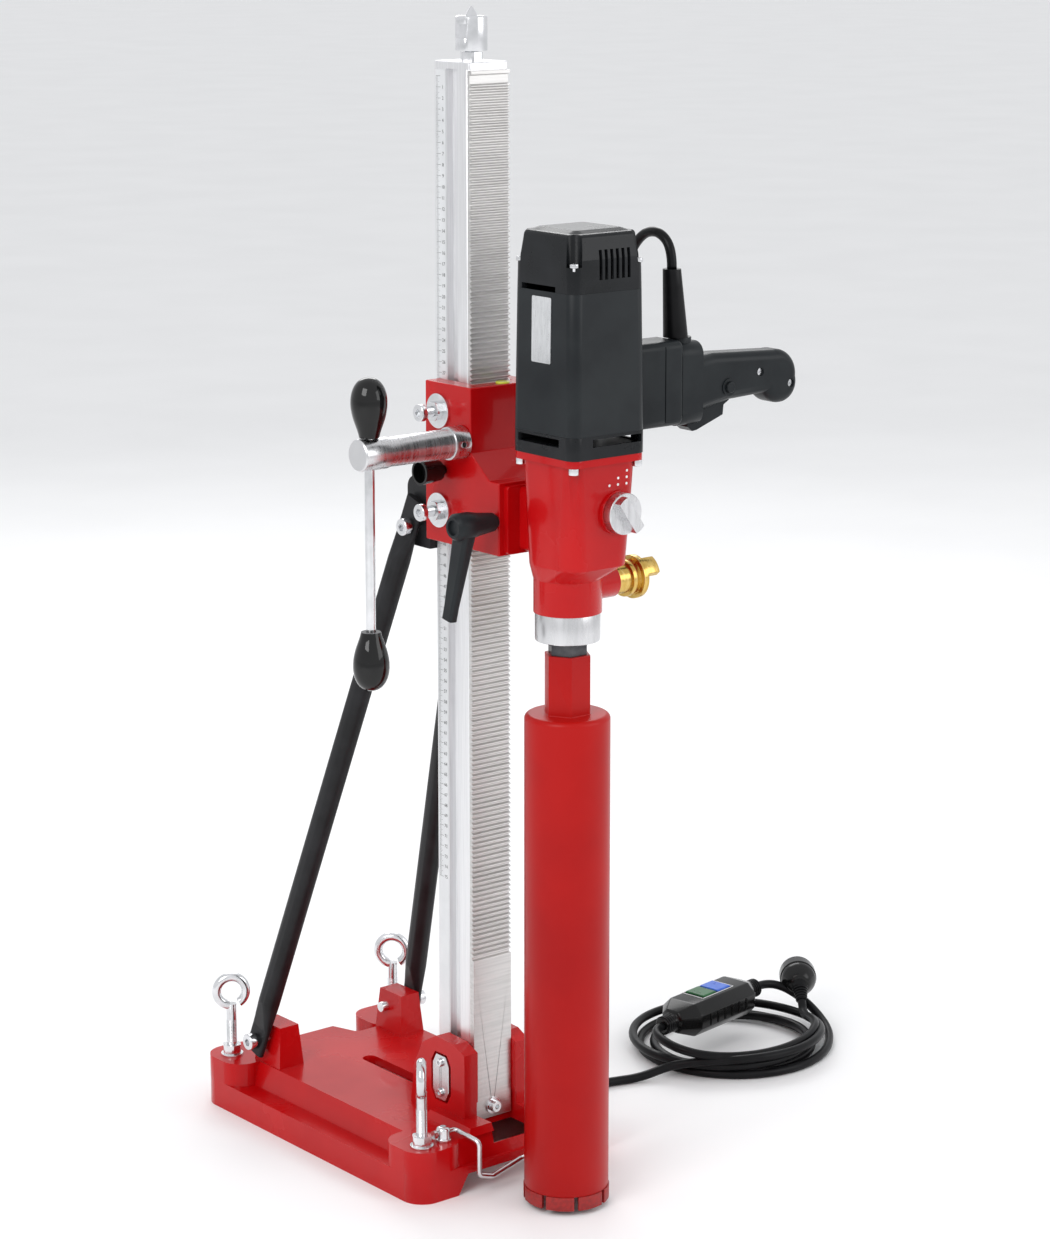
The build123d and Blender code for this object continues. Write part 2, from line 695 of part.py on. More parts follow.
# --------------------------------------------------- clamp lever and lock knob
with BuildPart() as clamp_lever:
    with BuildSketch(facing_front(0, lever_y, lever_z)):
        with BuildLine():
            Polyline(
                (-39.3, 0), (-39.3, 6), (-43, 6), (-43, 8.5), (-60, 10.5), (-70, 12.5), (-84, 12.5),
                (-88, 9.5), (-88, 7), (-85, 6.5), (-85, 0), close=True)
        make_face()
    revolve(axis=Axis((0, lever_y, lever_z), (1, 0, 0)))
    arm_root = Vector(-73, lever_y, lever_z)
    arm_tip = Vector(-78, lever_y + 18, lever_z - 88)
    arm_plane = Plane(arm_root, x_dir=(0, 1, 0.2), z_dir=arm_tip - arm_root)
    with BuildSketch(arm_plane):
        RectangleRounded(21, 14, 4)
    with BuildSketch(arm_plane.offset(78)):
        RectangleRounded(14, 9, 3)
    loft()
    with BuildSketch(arm_plane.offset(78)):
        RectangleRounded(14, 9, 3)
    extrude(amount=12)
    add(round_bar(facing_x(-39.4, lever_y, lever_z), 4, 24))
clamp_lever.part.label = "clamp_lever"
export_step(clamp_lever.part, "parts/clamp_lever.step")

with BuildPart() as lock_knob:
    with BuildSketch(facing_x(-45, lock_y, lock_z, -1)):
        Circle(9.5)
    with BuildSketch(facing_x(-67, lock_y, lock_z, -1)):
        Circle(11.5)
    loft()
    with BuildSketch(facing_x(-67, lock_y, lock_z, -1)):
        Circle(9.3)
    extrude(amount=-11, mode=Mode.SUBTRACT)
    add(round_bar(facing_x(-56.5, lock_y, lock_z), 4, 33))
lock_knob.part.label = "lock_knob"
export_step(lock_knob.part, "parts/lock_knob.step")

# ------------------------------------------------------------------- gearbox
lay_x = 18.54
lay_y = motor_y + 7.5
bolt_reach = 36.5
inlet_z = 581.0
knob_x = 14.0
gear_knob_z = 656.0
gearbox_face = motor_y - 38.0
plate_z = 672.0
motor_corners = [(x, motor_y + y) for x in (-bolt_reach, bolt_reach) for y in (-bolt_reach, bolt_reach)]

with BuildPart() as gearbox_housing:
    with BuildSketch(Plane((0, motor_y, flange_bottom))):
        RectangleRounded(motor_width, motor_width, 10)
    extrude(amount=motor_bottom - flange_bottom)
    with BuildSketch(Plane((0, motor_y, flange_bottom))):
        RectangleRounded(78, 76, 14)
    with BuildSketch(Plane((0, motor_y + 2, 606))):
        RectangleRounded(72, 71, 19)
    loft()
    with BuildSketch(Plane((0, motor_y + 2, 606))):
        RectangleRounded(72, 71, 19)
    with BuildSketch(Plane((0, spindle_y, 591))):
        RectangleRounded(62, 62, 30.5)
    loft()
    with BuildSketch(Plane((0, spindle_y, nose_bottom))):
        Circle(31)
    extrude(amount=31)
    with BuildSketch(facing_front(0, block_front - 6.3, 640)):
        RectangleRounded(40, 58, 4)
    extrude(amount=24)
    with BuildSketch(facing_x(0, spindle_y, inlet_z)):
        Circle(15)
    extrude(amount=50)
    with BuildSketch(facing_front(knob_x, gearbox_face + 8, gear_knob_z)):
        Circle(20)
    extrude(amount=9)
    with BuildSketch(Plane((0, motor_y, plate_z - 0.5))):
        RectangleRounded(71, 68, 9)
    extrude(amount=40, mode=Mode.SUBTRACT)
    with BuildSketch(Plane((0, motor_y + 1, 634))):
        RectangleRounded(62, 60, 12)
    extrude(amount=45, mode=Mode.SUBTRACT)
    with BuildSketch(Plane((0, spindle_y, 612))):
        Circle(21)
    extrude(amount=14, mode=Mode.SUBTRACT)
    with BuildSketch(Plane((0, spindle_y, nose_bottom - 1))):
        Circle(21)
    extrude(amount=22, mode=Mode.SUBTRACT)
    with BuildSketch(Plane((0, spindle_y, nose_bottom - 1))):
        Circle(14.5)
    extrude(amount=80, mode=Mode.SUBTRACT)
    with BuildSketch(Plane((lay_x, lay_y, 628.5))):
        Circle(7)
    extrude(amount=8, mode=Mode.SUBTRACT)
    with BuildSketch(Plane.XY.offset(640)):
        with Locations(*motor_corners):
            Circle(6.2)
    extrude(amount=flange_bottom - 640, mode=Mode.SUBTRACT)
    with BuildSketch(Plane.XY.offset(flange_bottom - 1)):
        with Locations(*motor_corners):
            Circle(2.6)
    extrude(amount=12, mode=Mode.SUBTRACT)
    with BuildSketch(facing_x(10, spindle_y, inlet_z)):
        Circle(8)
    extrude(amount=41, mode=Mode.SUBTRACT)
    with BuildSketch(facing_front(knob_x, gearbox_face + 12, gear_knob_z)):
        Circle(5 + running_fit)
    extrude(amount=20, mode=Mode.SUBTRACT)
gearbox_housing.part.label = "gearbox_housing"
export_step(gearbox_housing.part, "parts/gearbox_housing.step")

with BuildPart() as bearing_plate:
    with BuildSketch(Plane((0, motor_y, plate_z))):
        RectangleRounded(70.4, 67.4, 8.7)
        with Locations((0, spindle_y - motor_y)):
            Circle(11, mode=Mode.SUBTRACT)
        with Locations((lay_x, lay_y - motor_y)):
            Circle(7, mode=Mode.SUBTRACT)
    extrude(amount=8)
bearing_plate.part.label = "bearing_plate"
export_step(bearing_plate.part, "parts/bearing_plate.step")

bearing_list = (
    (0, spindle_y, plate_z, 8, 11, 7), (0, spindle_y, 613, 12, 21, 12.5), (0, spindle_y, 565, 12, 21, 12.5),
    (lay_x, lay_y, plate_z, 8, 7, 4), (lay_x, lay_y, 628.6, 5.2, 7, 4),
    (0, motor_y, 708, 8, 11, 5), (0, motor_y, 868, 7, 9.5, 4))

with BuildPart() as bearings:
    for x, y, z, height, outer, inner in bearing_list:
        add(washer(Plane((x, y, z)), outer - 0.05, inner + running_fit, height))
    for side in sides:
        add(washer(facing_x(side * 23.3, pinion_y, crank_z, side), 9, 6 + running_fit, 15))
bearings.part.label = "bearings"
export_step(bearings.part, "parts/bearings.step")

with BuildPart() as water_collar:
    with BuildSketch(Plane((0, spindle_y, collar_bottom))):
        Circle(29.5)
        Circle(20, mode=Mode.SUBTRACT)
    extrude(amount=nose_bottom - collar_bottom)
    chamfer(water_collar.edges().group_by(Axis.Z)[0].sort_by(SortBy.RADIUS)[-1:], length=0.8)
water_collar.part.label = "water_collar"
export_step(water_collar.part, "parts/water_collar.step")

with BuildPart() as water_coupling:
    inlet_steps = ((50.2, 64, 13.5), (64, 69, 17), (69, 74, 15.5), (74, 80, 20))
    for start, end, radius in inlet_steps:
        with BuildSketch(facing_x(start, spindle_y, inlet_z)):
            Circle(radius)
        extrude(amount=end - start)
    with BuildSketch(facing_x(80, spindle_y, inlet_z)):
        Circle(20)
        Circle(15, mode=Mode.SUBTRACT)
        Rectangle(60, 17, rotation=-40, mode=Mode.INTERSECT)
    extrude(amount=13)
    with BuildSketch(facing_x(50, spindle_y, inlet_z)):
        Circle(7)
    extrude(amount=50, mode=Mode.SUBTRACT)
water_coupling.part.label = "water_coupling"
export_step(water_coupling.part, "parts/water_coupling.step")

# ------------------------------------------------------- spindle and core bit
# Each gear has a tooth or a gap on the line to its partner, so that the train is in mesh.
lay_angle = 22.02
lay_small_teeth = 10
spindle_teeth = 22
armature_teeth = 10
lay_large_teeth = 30
to_lay_from_motor = lay_angle
to_lay_from_spindle = -lay_angle
spindle_phase = to_lay_from_spindle + 180 / spindle_teeth
lay_small_phase = to_lay_from_spindle + 180
lay_large_phase = to_lay_from_motor + 180 + 180 / lay_large_teeth

with BuildPart() as spindle:
    for bottom, top, radius in ((497, 521.2, 8), (521.2, 559, 19), (559, 650, 12.5), (650, 680.5, 7)):
        with BuildSketch(Plane((0, spindle_y, bottom))):
            Circle(radius)
        extrude(amount=top - bottom)
    with BuildSketch(Plane((0, spindle_y, 650))):
        add(gear_face(1.25, spindle_teeth, spindle_phase))
    extrude(amount=14)
    with BuildSketch(Plane((0, spindle_y, 521.2))):
        Circle(20)
        RegularPolygon(16, 6, major_radius=False, mode=Mode.SUBTRACT)
    extrude(amount=9, mode=Mode.SUBTRACT)
spindle.part.label = "spindle"
export_step(spindle.part, "parts/spindle.step")

segment_count = 8
segment_phase = -116.0
segment_height = 13.0
tube_top = 466.0

with BuildPart() as core_bit:
    with BuildSketch(Plane((0, spindle_y, bit_bottom + segment_height))):
        Circle(bit_radius)
    extrude(amount=tube_top - bit_bottom - segment_height)
    fillet(core_bit.faces().sort_by(Axis.Z)[-1].edges(), radius=5)
    with BuildSketch(Plane((0, spindle_y, tube_top - 0.5))):
        RegularPolygon(19, 6, major_radius=False)
    extrude(amount=bit_top - tube_top + 0.5)
    with BuildSketch(Plane((0, spindle_y, bit_bottom))):
        Circle(bit_bore_radius)
    extrude(amount=tube_top - bit_bottom - 8, mode=Mode.SUBTRACT)
    with BuildSketch(Plane((0, spindle_y, bit_top))):
        Circle(8.1)
    extrude(amount=-40, mode=Mode.SUBTRACT)
    with BuildSketch(Plane((0, spindle_y, tube_top - 20))):
        Circle(4)
    extrude(amount=40, mode=Mode.SUBTRACT)
core_bit.part.label = "core_bit"
export_step(core_bit.part, "parts/core_bit.step")

with BuildPart() as bit_segments:
    with BuildSketch(Plane((0, spindle_y, bit_bottom))):
        Circle(bit_radius + 0.7)
        Circle(bit_bore_radius - 0.6, mode=Mode.SUBTRACT)
        with PolarLocations(bit_radius, segment_count, start_angle=segment_phase):
            Rectangle(12, 4.2, mode=Mode.SUBTRACT)
    extrude(amount=segment_height - 0.05)
bit_segments.part.label = "bit_segments"
export_step(bit_segments.part, "parts/bit_segments.step")

# ------------------------------------------------------ layshaft and armature
with BuildPart() as layshaft:
    with BuildSketch(Plane((lay_x, lay_y, 629))):
        Circle(4)
    extrude(amount=71)
    with BuildSketch(Plane((lay_x, lay_y, 648))):
        add(gear_face(1.25, lay_small_teeth, lay_small_phase))
    extrude(amount=18)
    with BuildSketch(Plane((lay_x, lay_y, 688))):
        add(gear_face(1.0, lay_large_teeth, lay_large_phase))
    extrude(amount=10)
layshaft.part.label = "layshaft"
export_step(layshaft.part, "parts/layshaft.step")

with BuildPart() as armature:
    armature_steps = ((700.2, 707, 4), (707, 717, 5), (717, 748, 7), (748, 806, 25), (806, 816, 8),
                      (816, 836, 14), (836, 866, 8), (866, 876, 4))
    for bottom, top, radius in armature_steps:
        with BuildSketch(Plane((0, motor_y, bottom))):
            Circle(radius)
        extrude(amount=top - bottom)
    with BuildSketch(Plane((0, motor_y, 687))):
        add(gear_face(1.0, armature_teeth, to_lay_from_motor))
    extrude(amount=13.2)
    with BuildSketch(Plane((0, motor_y, 748))):
        with PolarLocations(25, 12):
            Rectangle(9, 2.4)
    extrude(amount=58, mode=Mode.SUBTRACT)
armature.part.label = "armature"
export_step(armature.part, "parts/armature.step")

with BuildPart() as fan:
    with BuildSketch(Plane((0, motor_y, 726))):
        Circle(34)
        Circle(7.02, mode=Mode.SUBTRACT)
    extrude(amount=2.5)
    with BuildSketch(Plane((0, motor_y, 728.5))):
        with PolarLocations(23, 11):
            Rectangle(18, 1.8, rotation=28)
        Circle(10)
        Circle(7.02, mode=Mode.SUBTRACT)
    extrude(amount=9)
fan.part.label = "fan"
export_step(fan.part, "parts/fan.step")

with BuildPart() as stator:
    with BuildSketch(Plane((0, motor_y, 750))):
        Circle(38)
        Circle(26, mode=Mode.SUBTRACT)
    extrude(amount=54)
    with BuildSketch(Plane((0, motor_y, 743))):
        Circle(36)
        Circle(27.5, mode=Mode.SUBTRACT)
    extrude(amount=68)
stator.part.label = "stator"
export_step(stator.part, "parts/stator.step")

with BuildPart() as brush_holders:
    for side in sides:
        with BuildSketch(facing_x(side * 14.4, motor_y, 826, side)):
            Rectangle(9, 12)
        extrude(amount=20)
brush_holders.part.label = "brush_holders"
export_step(brush_holders.part, "parts/brush_holders.step")

# --------------------------------------------------------------- motor shells
housing_half = motor_width / 2 + 0.5
housing_draft = 1.5
plate_middle = 819.0

with BuildPart() as motor_end_ring:
    with BuildSketch(Plane((0, motor_y, motor_bottom + 0.1))):
        RectangleRounded(motor_width + 1, motor_width + 1, 10)
    extrude(amount=ring_top - motor_bottom - 0.2)
    with BuildSketch(Plane((0, motor_y, 717))):
        RectangleRounded(motor_width - 6, motor_width - 6, 8)
    extrude(amount=20, mode=Mode.SUBTRACT)
    with BuildSketch(Plane((0, motor_y, 700))):
        Circle(11)
        with Locations(*[(x, y - motor_y) for x, y in motor_corners]):
            Circle(2.6)
    extrude(amount=18, mode=Mode.SUBTRACT)
    with BuildSketch(facing_front(8, motor_y, ring_top - 6.5)):
        Rectangle(56, 7)
    extrude(amount=60, mode=Mode.SUBTRACT)
    for side in sides:
        with BuildSketch(facing_x(side * 30, motor_y + 4, ring_top - 6.5, side)):
            Rectangle(56, 7)
        extrude(amount=20, mode=Mode.SUBTRACT)
motor_end_ring.part.label = "motor_end_ring"
export_step(motor_end_ring.part, "parts/motor_end_ring.step")

with BuildPart() as motor_housing:
    with BuildSketch(Plane((0, motor_y, ring_top))):
        RectangleRounded(2 * housing_half, 2 * housing_half, 10)
    with BuildSketch(Plane((0, motor_y, cover_bottom - 0.1))):
        RectangleRounded(2 * (housing_half - housing_draft), 2 * (housing_half - housing_draft), 10)
    loft()
    with BuildSketch(Plane((0, motor_y, ring_top - 1))):
        RectangleRounded(motor_width - 6, motor_width - 6, 8)
    extrude(amount=cover_bottom - ring_top + 2, mode=Mode.SUBTRACT)
    with BuildSketch(Plane((0, motor_y, ring_top + 6))):
        RectangleRounded(motor_width - 5, motor_width - 5, 8)
        Circle(38.1, mode=Mode.SUBTRACT)
    extrude(amount=4)
    with BuildSketch(facing_x(motor_width / 2 - 6, motor_y, 760)):
        RectangleRounded(24, 50, 4)
    extrude(amount=10, mode=Mode.SUBTRACT)
motor_housing.part.label = "motor_housing"
export_step(motor_housing.part, "parts/motor_housing.step")

with BuildPart() as motor_cover:
    with BuildSketch(Plane((0, motor_y, cover_bottom))):
        RectangleRounded(motor_width - 2, motor_width - 2, 10)
    with BuildSketch(Plane((0, motor_y, 882))):
        RectangleRounded(motor_width - 3, motor_width - 3, 10)
    loft()
    with BuildSketch(Plane((0, motor_y, 882))):
        RectangleRounded(motor_width - 3, motor_width - 3, 10)
    with BuildSketch(Plane((0, motor_y, cover_top + 1))):
        RectangleRounded(motor_width - 9, motor_width - 9, 11)
    loft()
    fillet(motor_cover.faces().sort_by(Axis.Z)[-1].edges(), radius=4.5)
    with BuildSketch(Plane((0, motor_y, cover_top + 0.9))):
        RectangleRounded(motor_width - 18, motor_width - 18, 11)
    extrude(amount=2.6, taper=70)
    with BuildSketch(Plane((0, motor_y, cover_bottom - 1))):
        RectangleRounded(motor_width - 22, motor_width - 8, 8)
        RectangleRounded(motor_width - 8, motor_width - 22, 8)
    extrude(amount=23, mode=Mode.SUBTRACT)
    with BuildSketch(Plane((0, motor_y, cover_bottom + 20))):
        RectangleRounded(motor_width - 22, motor_width - 22, 8)
    extrude(amount=27, mode=Mode.SUBTRACT)
    with BuildSketch(Plane((0, motor_y, 876))):
        with Locations(*[(x, y - motor_y) for x, y in motor_corners]):
            Circle(6.8)
    extrude(amount=40, mode=Mode.SUBTRACT)
    with BuildSketch(Plane((0, motor_y, 872.5))):
        with Locations(*[(x, y - motor_y) for x, y in motor_corners]):
            Circle(2.6)
    extrude(amount=4, mode=Mode.SUBTRACT)
    with BuildSketch(facing_front(9, motor_y, 877)):
        with Locations(*[(step * 6.4, 0) for step in range(-3, 3)]):
            Rectangle(3.4, 26)
    extrude(amount=60, mode=Mode.SUBTRACT)
    with BuildSketch(facing_x(-30, motor_y + 6, cover_bottom + 2.5, -1)):
        Rectangle(46, 5)
    extrude(amount=20, mode=Mode.SUBTRACT)
    with BuildSketch(Plane((0, motor_y, 862))):
        RectangleRounded(motor_width - 6.5, 22, 3)
        Circle(12)
        Circle(9.5, mode=Mode.SUBTRACT)
    extrude(amount=12)
motor_cover.part.label = "motor_cover"
export_step(motor_cover.part, "parts/motor_cover.step")

with BuildPart() as nameplate:
    wall_lean = housing_draft / (cover_bottom - ring_top)
    wall_x = housing_half - wall_lean * (plate_middle - ring_top)
    with BuildSketch(Plane((-wall_x - 0.05, motor_y + 1, plate_middle), x_dir=(0, -1, 0), z_dir=(-1, 0, wall_lean))):
        RectangleRounded(26, 58, 1.5)
    extrude(amount=0.6)
nameplate.part.label = "nameplate"
export_step(nameplate.part, "parts/nameplate.step")

# ------------------------------------------------------------- grip and switch
grip_y = motor_y
box_depth = 40.0
box_start = motor_width / 2 + 0.6
box_end = 106.0
button_x = 165.0
button_z = 750.0
boot_bottom = (113.0, grip_y, 799.0)
boot_top = (108.0, grip_y, 861.0)

with BuildPart() as switch_box:
    with BuildSketch(facing_x(box_start, grip_y, 760)):
        RectangleRounded(box_depth, 77, 7)
    extrude(amount=box_end - box_start)
    fillet(switch_box.faces().sort_by(Axis.X)[-1].edges(), radius=4)
    with BuildSketch(facing_x(box_start + 4, grip_y, 760)):
        RectangleRounded(box_depth - 8, 69, 5)
    extrude(amount=box_end - box_start - 8, mode=Mode.SUBTRACT)
    with BuildSketch(facing_x(box_start - 5, grip_y, 760)):
        RectangleRounded(23.4, 49.4, 3.7)
    extrude(amount=6)
    with BuildSketch(facing_x(box_start - 6, grip_y, 760)):
        Circle(8)
    extrude(amount=12, mode=Mode.SUBTRACT)
    with BuildSketch(facing_front(84, grip_y - 21, 760)):
        Rectangle(1.2, 80)
    extrude(amount=-1.8, mode=Mode.SUBTRACT)
switch_box.part.label = "switch_box"
export_step(switch_box.part, "parts/switch_box.step")

with BuildPart() as grip:
    with BuildSketch(facing_x(107, grip_y, 757)):
        RectangleRounded(34, 76, 12)
    extrude(amount=25)
    with BuildSketch(facing_front(0, grip_y + 15, 0)):
        with BuildLine():
            Line((120, 779), (150, 782))
            Line((150, 782), (226, 778))
            ThreePointArc((226, 778), (246, 771), (253, 752))
            ThreePointArc((253, 752), (247.5, 733), (234, 728))
            ThreePointArc((234, 728), (222, 731), (214, 739))
            Line((214, 739), (170, 737))
            Line((170, 737), (120, 727))
            Line((120, 727), (120, 779))
        make_face()
    extrude(amount=30)
    fillet(grip.edges().filter_by(Axis.Y, reverse=True).filter_by_position(Axis.X, 133, 260), radius=9)
    with BuildSketch(facing_x(box_end, grip_y, 757)):
        RectangleRounded(26, 66, 8)
    extrude(amount=2)
    with BuildSketch(Plane((118, grip_y, 790))):
        Circle(10.5)
    extrude(amount=boot_bottom[2] - 790)
    with BuildSketch(facing_front(0, grip_y + 9, 0)):
        with BuildLine():
            Polyline(
                (112, 710), (112, 741), (118, 751), (146, 751), (152, 741.5), (178, 741.5), (178, 710),
                close=True)
        make_face()
    extrude(amount=18, mode=Mode.SUBTRACT)
    with BuildSketch(facing_front(0, grip_y - 16, 0)):
        with Locations((204.5, 760), (243, 746)):
            Circle(4)
    extrude(amount=-8, mode=Mode.SUBTRACT)
    with BuildSketch(facing_front(button_x, grip_y - 14, button_z)):
        Circle(8)
    extrude(amount=2.2)
    with BuildSketch(facing_front(button_x, grip_y - 5, button_z)):
        Circle(5.3)
    extrude(amount=16, mode=Mode.SUBTRACT)
grip.part.label = "grip"
export_step(grip.part, "parts/grip.step")

with BuildPart() as trigger:
    with BuildSketch(facing_front(0, grip_y + 8.2, 0)):
        with BuildLine():
            Polyline(
                (113, 738), (121, 727), (121, 717), (127, 712.5), (132, 713), (164, 724), (165, 733),
                (172, 737), (170, 739.5), (149, 739.5), (145, 746), (119, 746), close=True)
        make_face()
        fillet(vertices(), 1)
    extrude(amount=16.4)
trigger.part.label = "trigger"
export_step(trigger.part, "parts/trigger.step")

with BuildPart() as lock_button:
    with BuildSketch(facing_front(button_x, grip_y - 9, button_z)):
        Circle(5)
    extrude(amount=10)
    fillet(lock_button.faces().sort_by(Axis.Y)[0].edges(), radius=1)
lock_button.part.label = "lock_button"
export_step(lock_button.part, "parts/lock_button.step")

with BuildPart() as drill_screws:
    for x, y in motor_corners:
        add(socket_screw(Plane((x, y, flange_bottom), z_dir=(0, 0, -1)), 4.4, 6, 2.5, 15.5))
        add(socket_screw(Plane((x, y, 876)), 4, 3.5, 2.5, 3))
    for x, z in ((204.5, 760), (243, 746)):
        add(socket_screw(facing_front(x, grip_y - 10.2, z), 3.7, 2.5, 2, 2))
drill_screws.part.label = "drill_screws"
export_step(drill_screws.part, "parts/drill_screws.step")

with BuildPart() as gear_knob:
    with BuildSketch(facing_front(knob_x, gearbox_face - 1.5, gear_knob_z)):
        Circle(18.5)
    extrude(amount=9)
    chamfer(gear_knob.faces().sort_by(Axis.Y)[0].edges(), length=1)
    with BuildSketch(facing_front(knob_x, gearbox_face - 10.5, gear_knob_z)):
        Rectangle(11, 35, rotation=35)
        Circle(17.4, mode=Mode.INTERSECT)
    extrude(amount=8)
    with BuildSketch(facing_front(knob_x, gearbox_face + 12, gear_knob_z)):
        Circle(5)
    extrude(amount=14)
gear_knob.part.label = "gear_knob"
export_step(gear_knob.part, "parts/gear_knob.step")

# ---------------------------------------------------------------------- cord
with BuildPart() as cable_boot:
    with BuildSketch(Plane(boot_bottom)):
        Circle(11.3)
    with BuildSketch(Plane(boot_top)):
        Circle(8.3)
    loft()
cable_boot.part.label = "cable_boot"
export_step(cable_boot.part, "parts/cable_boot.step")

cord_route = [
    (108, -265, 861), (108, -265, 880), (107.5, -247, 894), (107, -223, 889), (107, -200, 857),
    (110, -165, 780), (118, -133, 680), (125, -110, 575), (132, -91, 460), (138, -78, 345),
    (141, -71, 235), (142, -66, 140), (146, -62, 79), (152, -59.5, 45), (166, -55, 21),
    (190, -52, 6.5), (222, -55, 4.5), (252, -66, 4.5), (281.5, -71.5, 4.5)]


def cord_radii(route):
    """Largest arc at each inner point: 0.45 of the shorter run over the tangent of half the turn."""
    radii = []
    for before, here, after in zip(route, route[1:], route[2:]):
        run_in = Vector(here) - Vector(before)
        run_out = Vector(after) - Vector(here)
        half_turn = radians(run_in.get_angle(run_out)) / 2
        radii.append(0.45 * min(run_in.length, run_out.length) / tan(half_turn))
    return radii


radii = cord_radii(cord_route)
print("cord radii", [round(radius) for radius in radii])

with BuildPart() as cord_lead:
    with BuildLine() as cord_path:
        FilletPolyline(*cord_route, radius=radii)
    with BuildSketch(Plane(cord_path.line @ 0, z_dir=cord_path.line % 0)):
        Circle(cord_radius)
    sweep(path=cord_path.line)
cord_lead.part.label = "cord_lead"
export_step(cord_lead.part, "parts/cord_lead.step")
cord_run = cord_path.wire().length
print("cord run", round(cord_run), "volume over section times length",
      round(cord_lead.part.volume / (pi * cord_radius ** 2 * cord_run), 4))

coil_centre = (393.0, -43.0)
coil_outer = 116.0
coil_inner = 64.0
coil_height = 22.0

with BuildPart() as cord_coil:
    with BuildSketch(Plane((coil_centre[0], coil_centre[1], 0))):
        Circle(coil_outer)
        Circle(coil_inner, mode=Mode.SUBTRACT)
    extrude(amount=coil_height)
cord_coil.part.label = "cord_coil"
export_step(cord_coil.part, "parts/cord_coil.step")

box_heading = 10.0
box_plane = Plane((384, column_front + 112, coil_height + 0.3),
                  x_dir=(cos(radians(box_heading)), sin(radians(box_heading)), 0))

with BuildPart() as safety_switch:
    with BuildSketch(box_plane):
        RectangleRounded(116, 52, 8)
    extrude(amount=35)
    fillet(safety_switch.faces().sort_by(Axis.Z)[-1].edges(), radius=5)
    for toward in (-1, 1):
        end_plane = Plane(box_plane.from_local_coords(Vector(toward * 56, 0, 17)), x_dir=box_plane.y_dir,
                          z_dir=box_plane.x_dir * toward)
        with BuildSketch(end_plane):
            RectangleRounded(40, 28, 8)
        with BuildSketch(end_plane.offset(24)):
            RectangleRounded(17, 17, 8)
        loft()
    for offset in (-12, 12):
        with BuildSketch(box_plane.offset(28)):
            with Locations((offset, 2)):
                Rectangle(21.6, 24.6)
        extrude(amount=10, mode=Mode.SUBTRACT)
safety_switch.part.label = "safety_switch"
export_step(safety_switch.part, "parts/safety_switch.step")

for name, offset in (("test_button", -12), ("reset_button", 12)):
    with BuildPart() as button:
        with BuildSketch(box_plane.offset(30.5)):
            with Locations((offset, 2)):
                Rectangle(21, 24)
        extrude(amount=6.5)
        chamfer(button.faces().sort_by(Axis.Z)[-1].edges(), length=0.8)
    button.part.label = name
    export_step(button.part, "parts/" + name + ".step")

plug_heading = (0.63, 0.777, 0.0)
plug_centre = Vector(512, column_front + 112, coil_height + 20.3)
plug_plane = Plane(plug_centre, x_dir=(0.777, -0.63, 0), z_dir=plug_heading)

with BuildPart() as mains_plug:
    with BuildSketch(plug_plane.offset(-8)):
        Circle(19.5)
    extrude(amount=24)
    with BuildSketch(plug_plane.offset(-8)):
        Circle(19.5)
    with BuildSketch(plug_plane.offset(-22)):
        Circle(9)
    loft()
    with BuildSketch(plug_plane.offset(16)):
        with Locations((-9.5, 0), (9.5, 0)):
            Circle(2.4)
    extrude(amount=19)
mains_plug.part.label = "mains_plug"
export_step(mains_plug.part, "parts/mains_plug.step")
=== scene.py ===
import math

import bmesh
import bpy
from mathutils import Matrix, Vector


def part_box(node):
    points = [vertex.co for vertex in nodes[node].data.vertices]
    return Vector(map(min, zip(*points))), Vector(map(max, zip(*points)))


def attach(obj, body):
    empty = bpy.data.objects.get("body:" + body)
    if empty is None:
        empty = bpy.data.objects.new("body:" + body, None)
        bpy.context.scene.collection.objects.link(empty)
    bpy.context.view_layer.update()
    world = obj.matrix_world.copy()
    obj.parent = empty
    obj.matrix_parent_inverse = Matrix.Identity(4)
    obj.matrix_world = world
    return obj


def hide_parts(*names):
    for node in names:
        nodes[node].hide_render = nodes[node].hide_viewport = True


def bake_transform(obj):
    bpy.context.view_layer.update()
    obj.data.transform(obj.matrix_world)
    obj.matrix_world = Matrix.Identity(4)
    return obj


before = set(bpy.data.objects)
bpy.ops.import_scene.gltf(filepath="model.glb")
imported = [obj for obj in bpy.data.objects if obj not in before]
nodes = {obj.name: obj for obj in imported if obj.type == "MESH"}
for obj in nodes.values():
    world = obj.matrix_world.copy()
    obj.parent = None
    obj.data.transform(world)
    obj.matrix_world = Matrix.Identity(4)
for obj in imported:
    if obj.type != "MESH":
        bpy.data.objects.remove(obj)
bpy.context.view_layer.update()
scene = bpy.context.scene

# ------------------------------------------------------------------ camera
CAMERA_PLACE = (-1.8552, -2.4755, 1.2202)
CAMERA_HEADING = math.radians(39.06)
CAMERA_PITCH = math.radians(10.85)
CAMERA_LENS = 96.35
CAMERA_SHIFT = -0.1

camera_data = bpy.data.cameras.new("camera")
camera_data.lens = CAMERA_LENS
camera_data.sensor_width = 36
camera_data.shift_y = CAMERA_SHIFT
camera_data.clip_end = 200
camera = bpy.data.objects.new("camera", camera_data)
camera.location = CAMERA_PLACE
camera.rotation_euler = (math.pi / 2 - CAMERA_PITCH, 0, -CAMERA_HEADING)
scene.collection.objects.link(camera)
scene.camera = camera
scene.view_settings.view_transform = "Standard"

# ----------------------------------------------------------------- helpers
TURNED_EDGE_ANGLE = 35
LOFTED_EDGE_ANGLE = 50


def link(obj):
    scene.collection.objects.link(obj)
    return obj


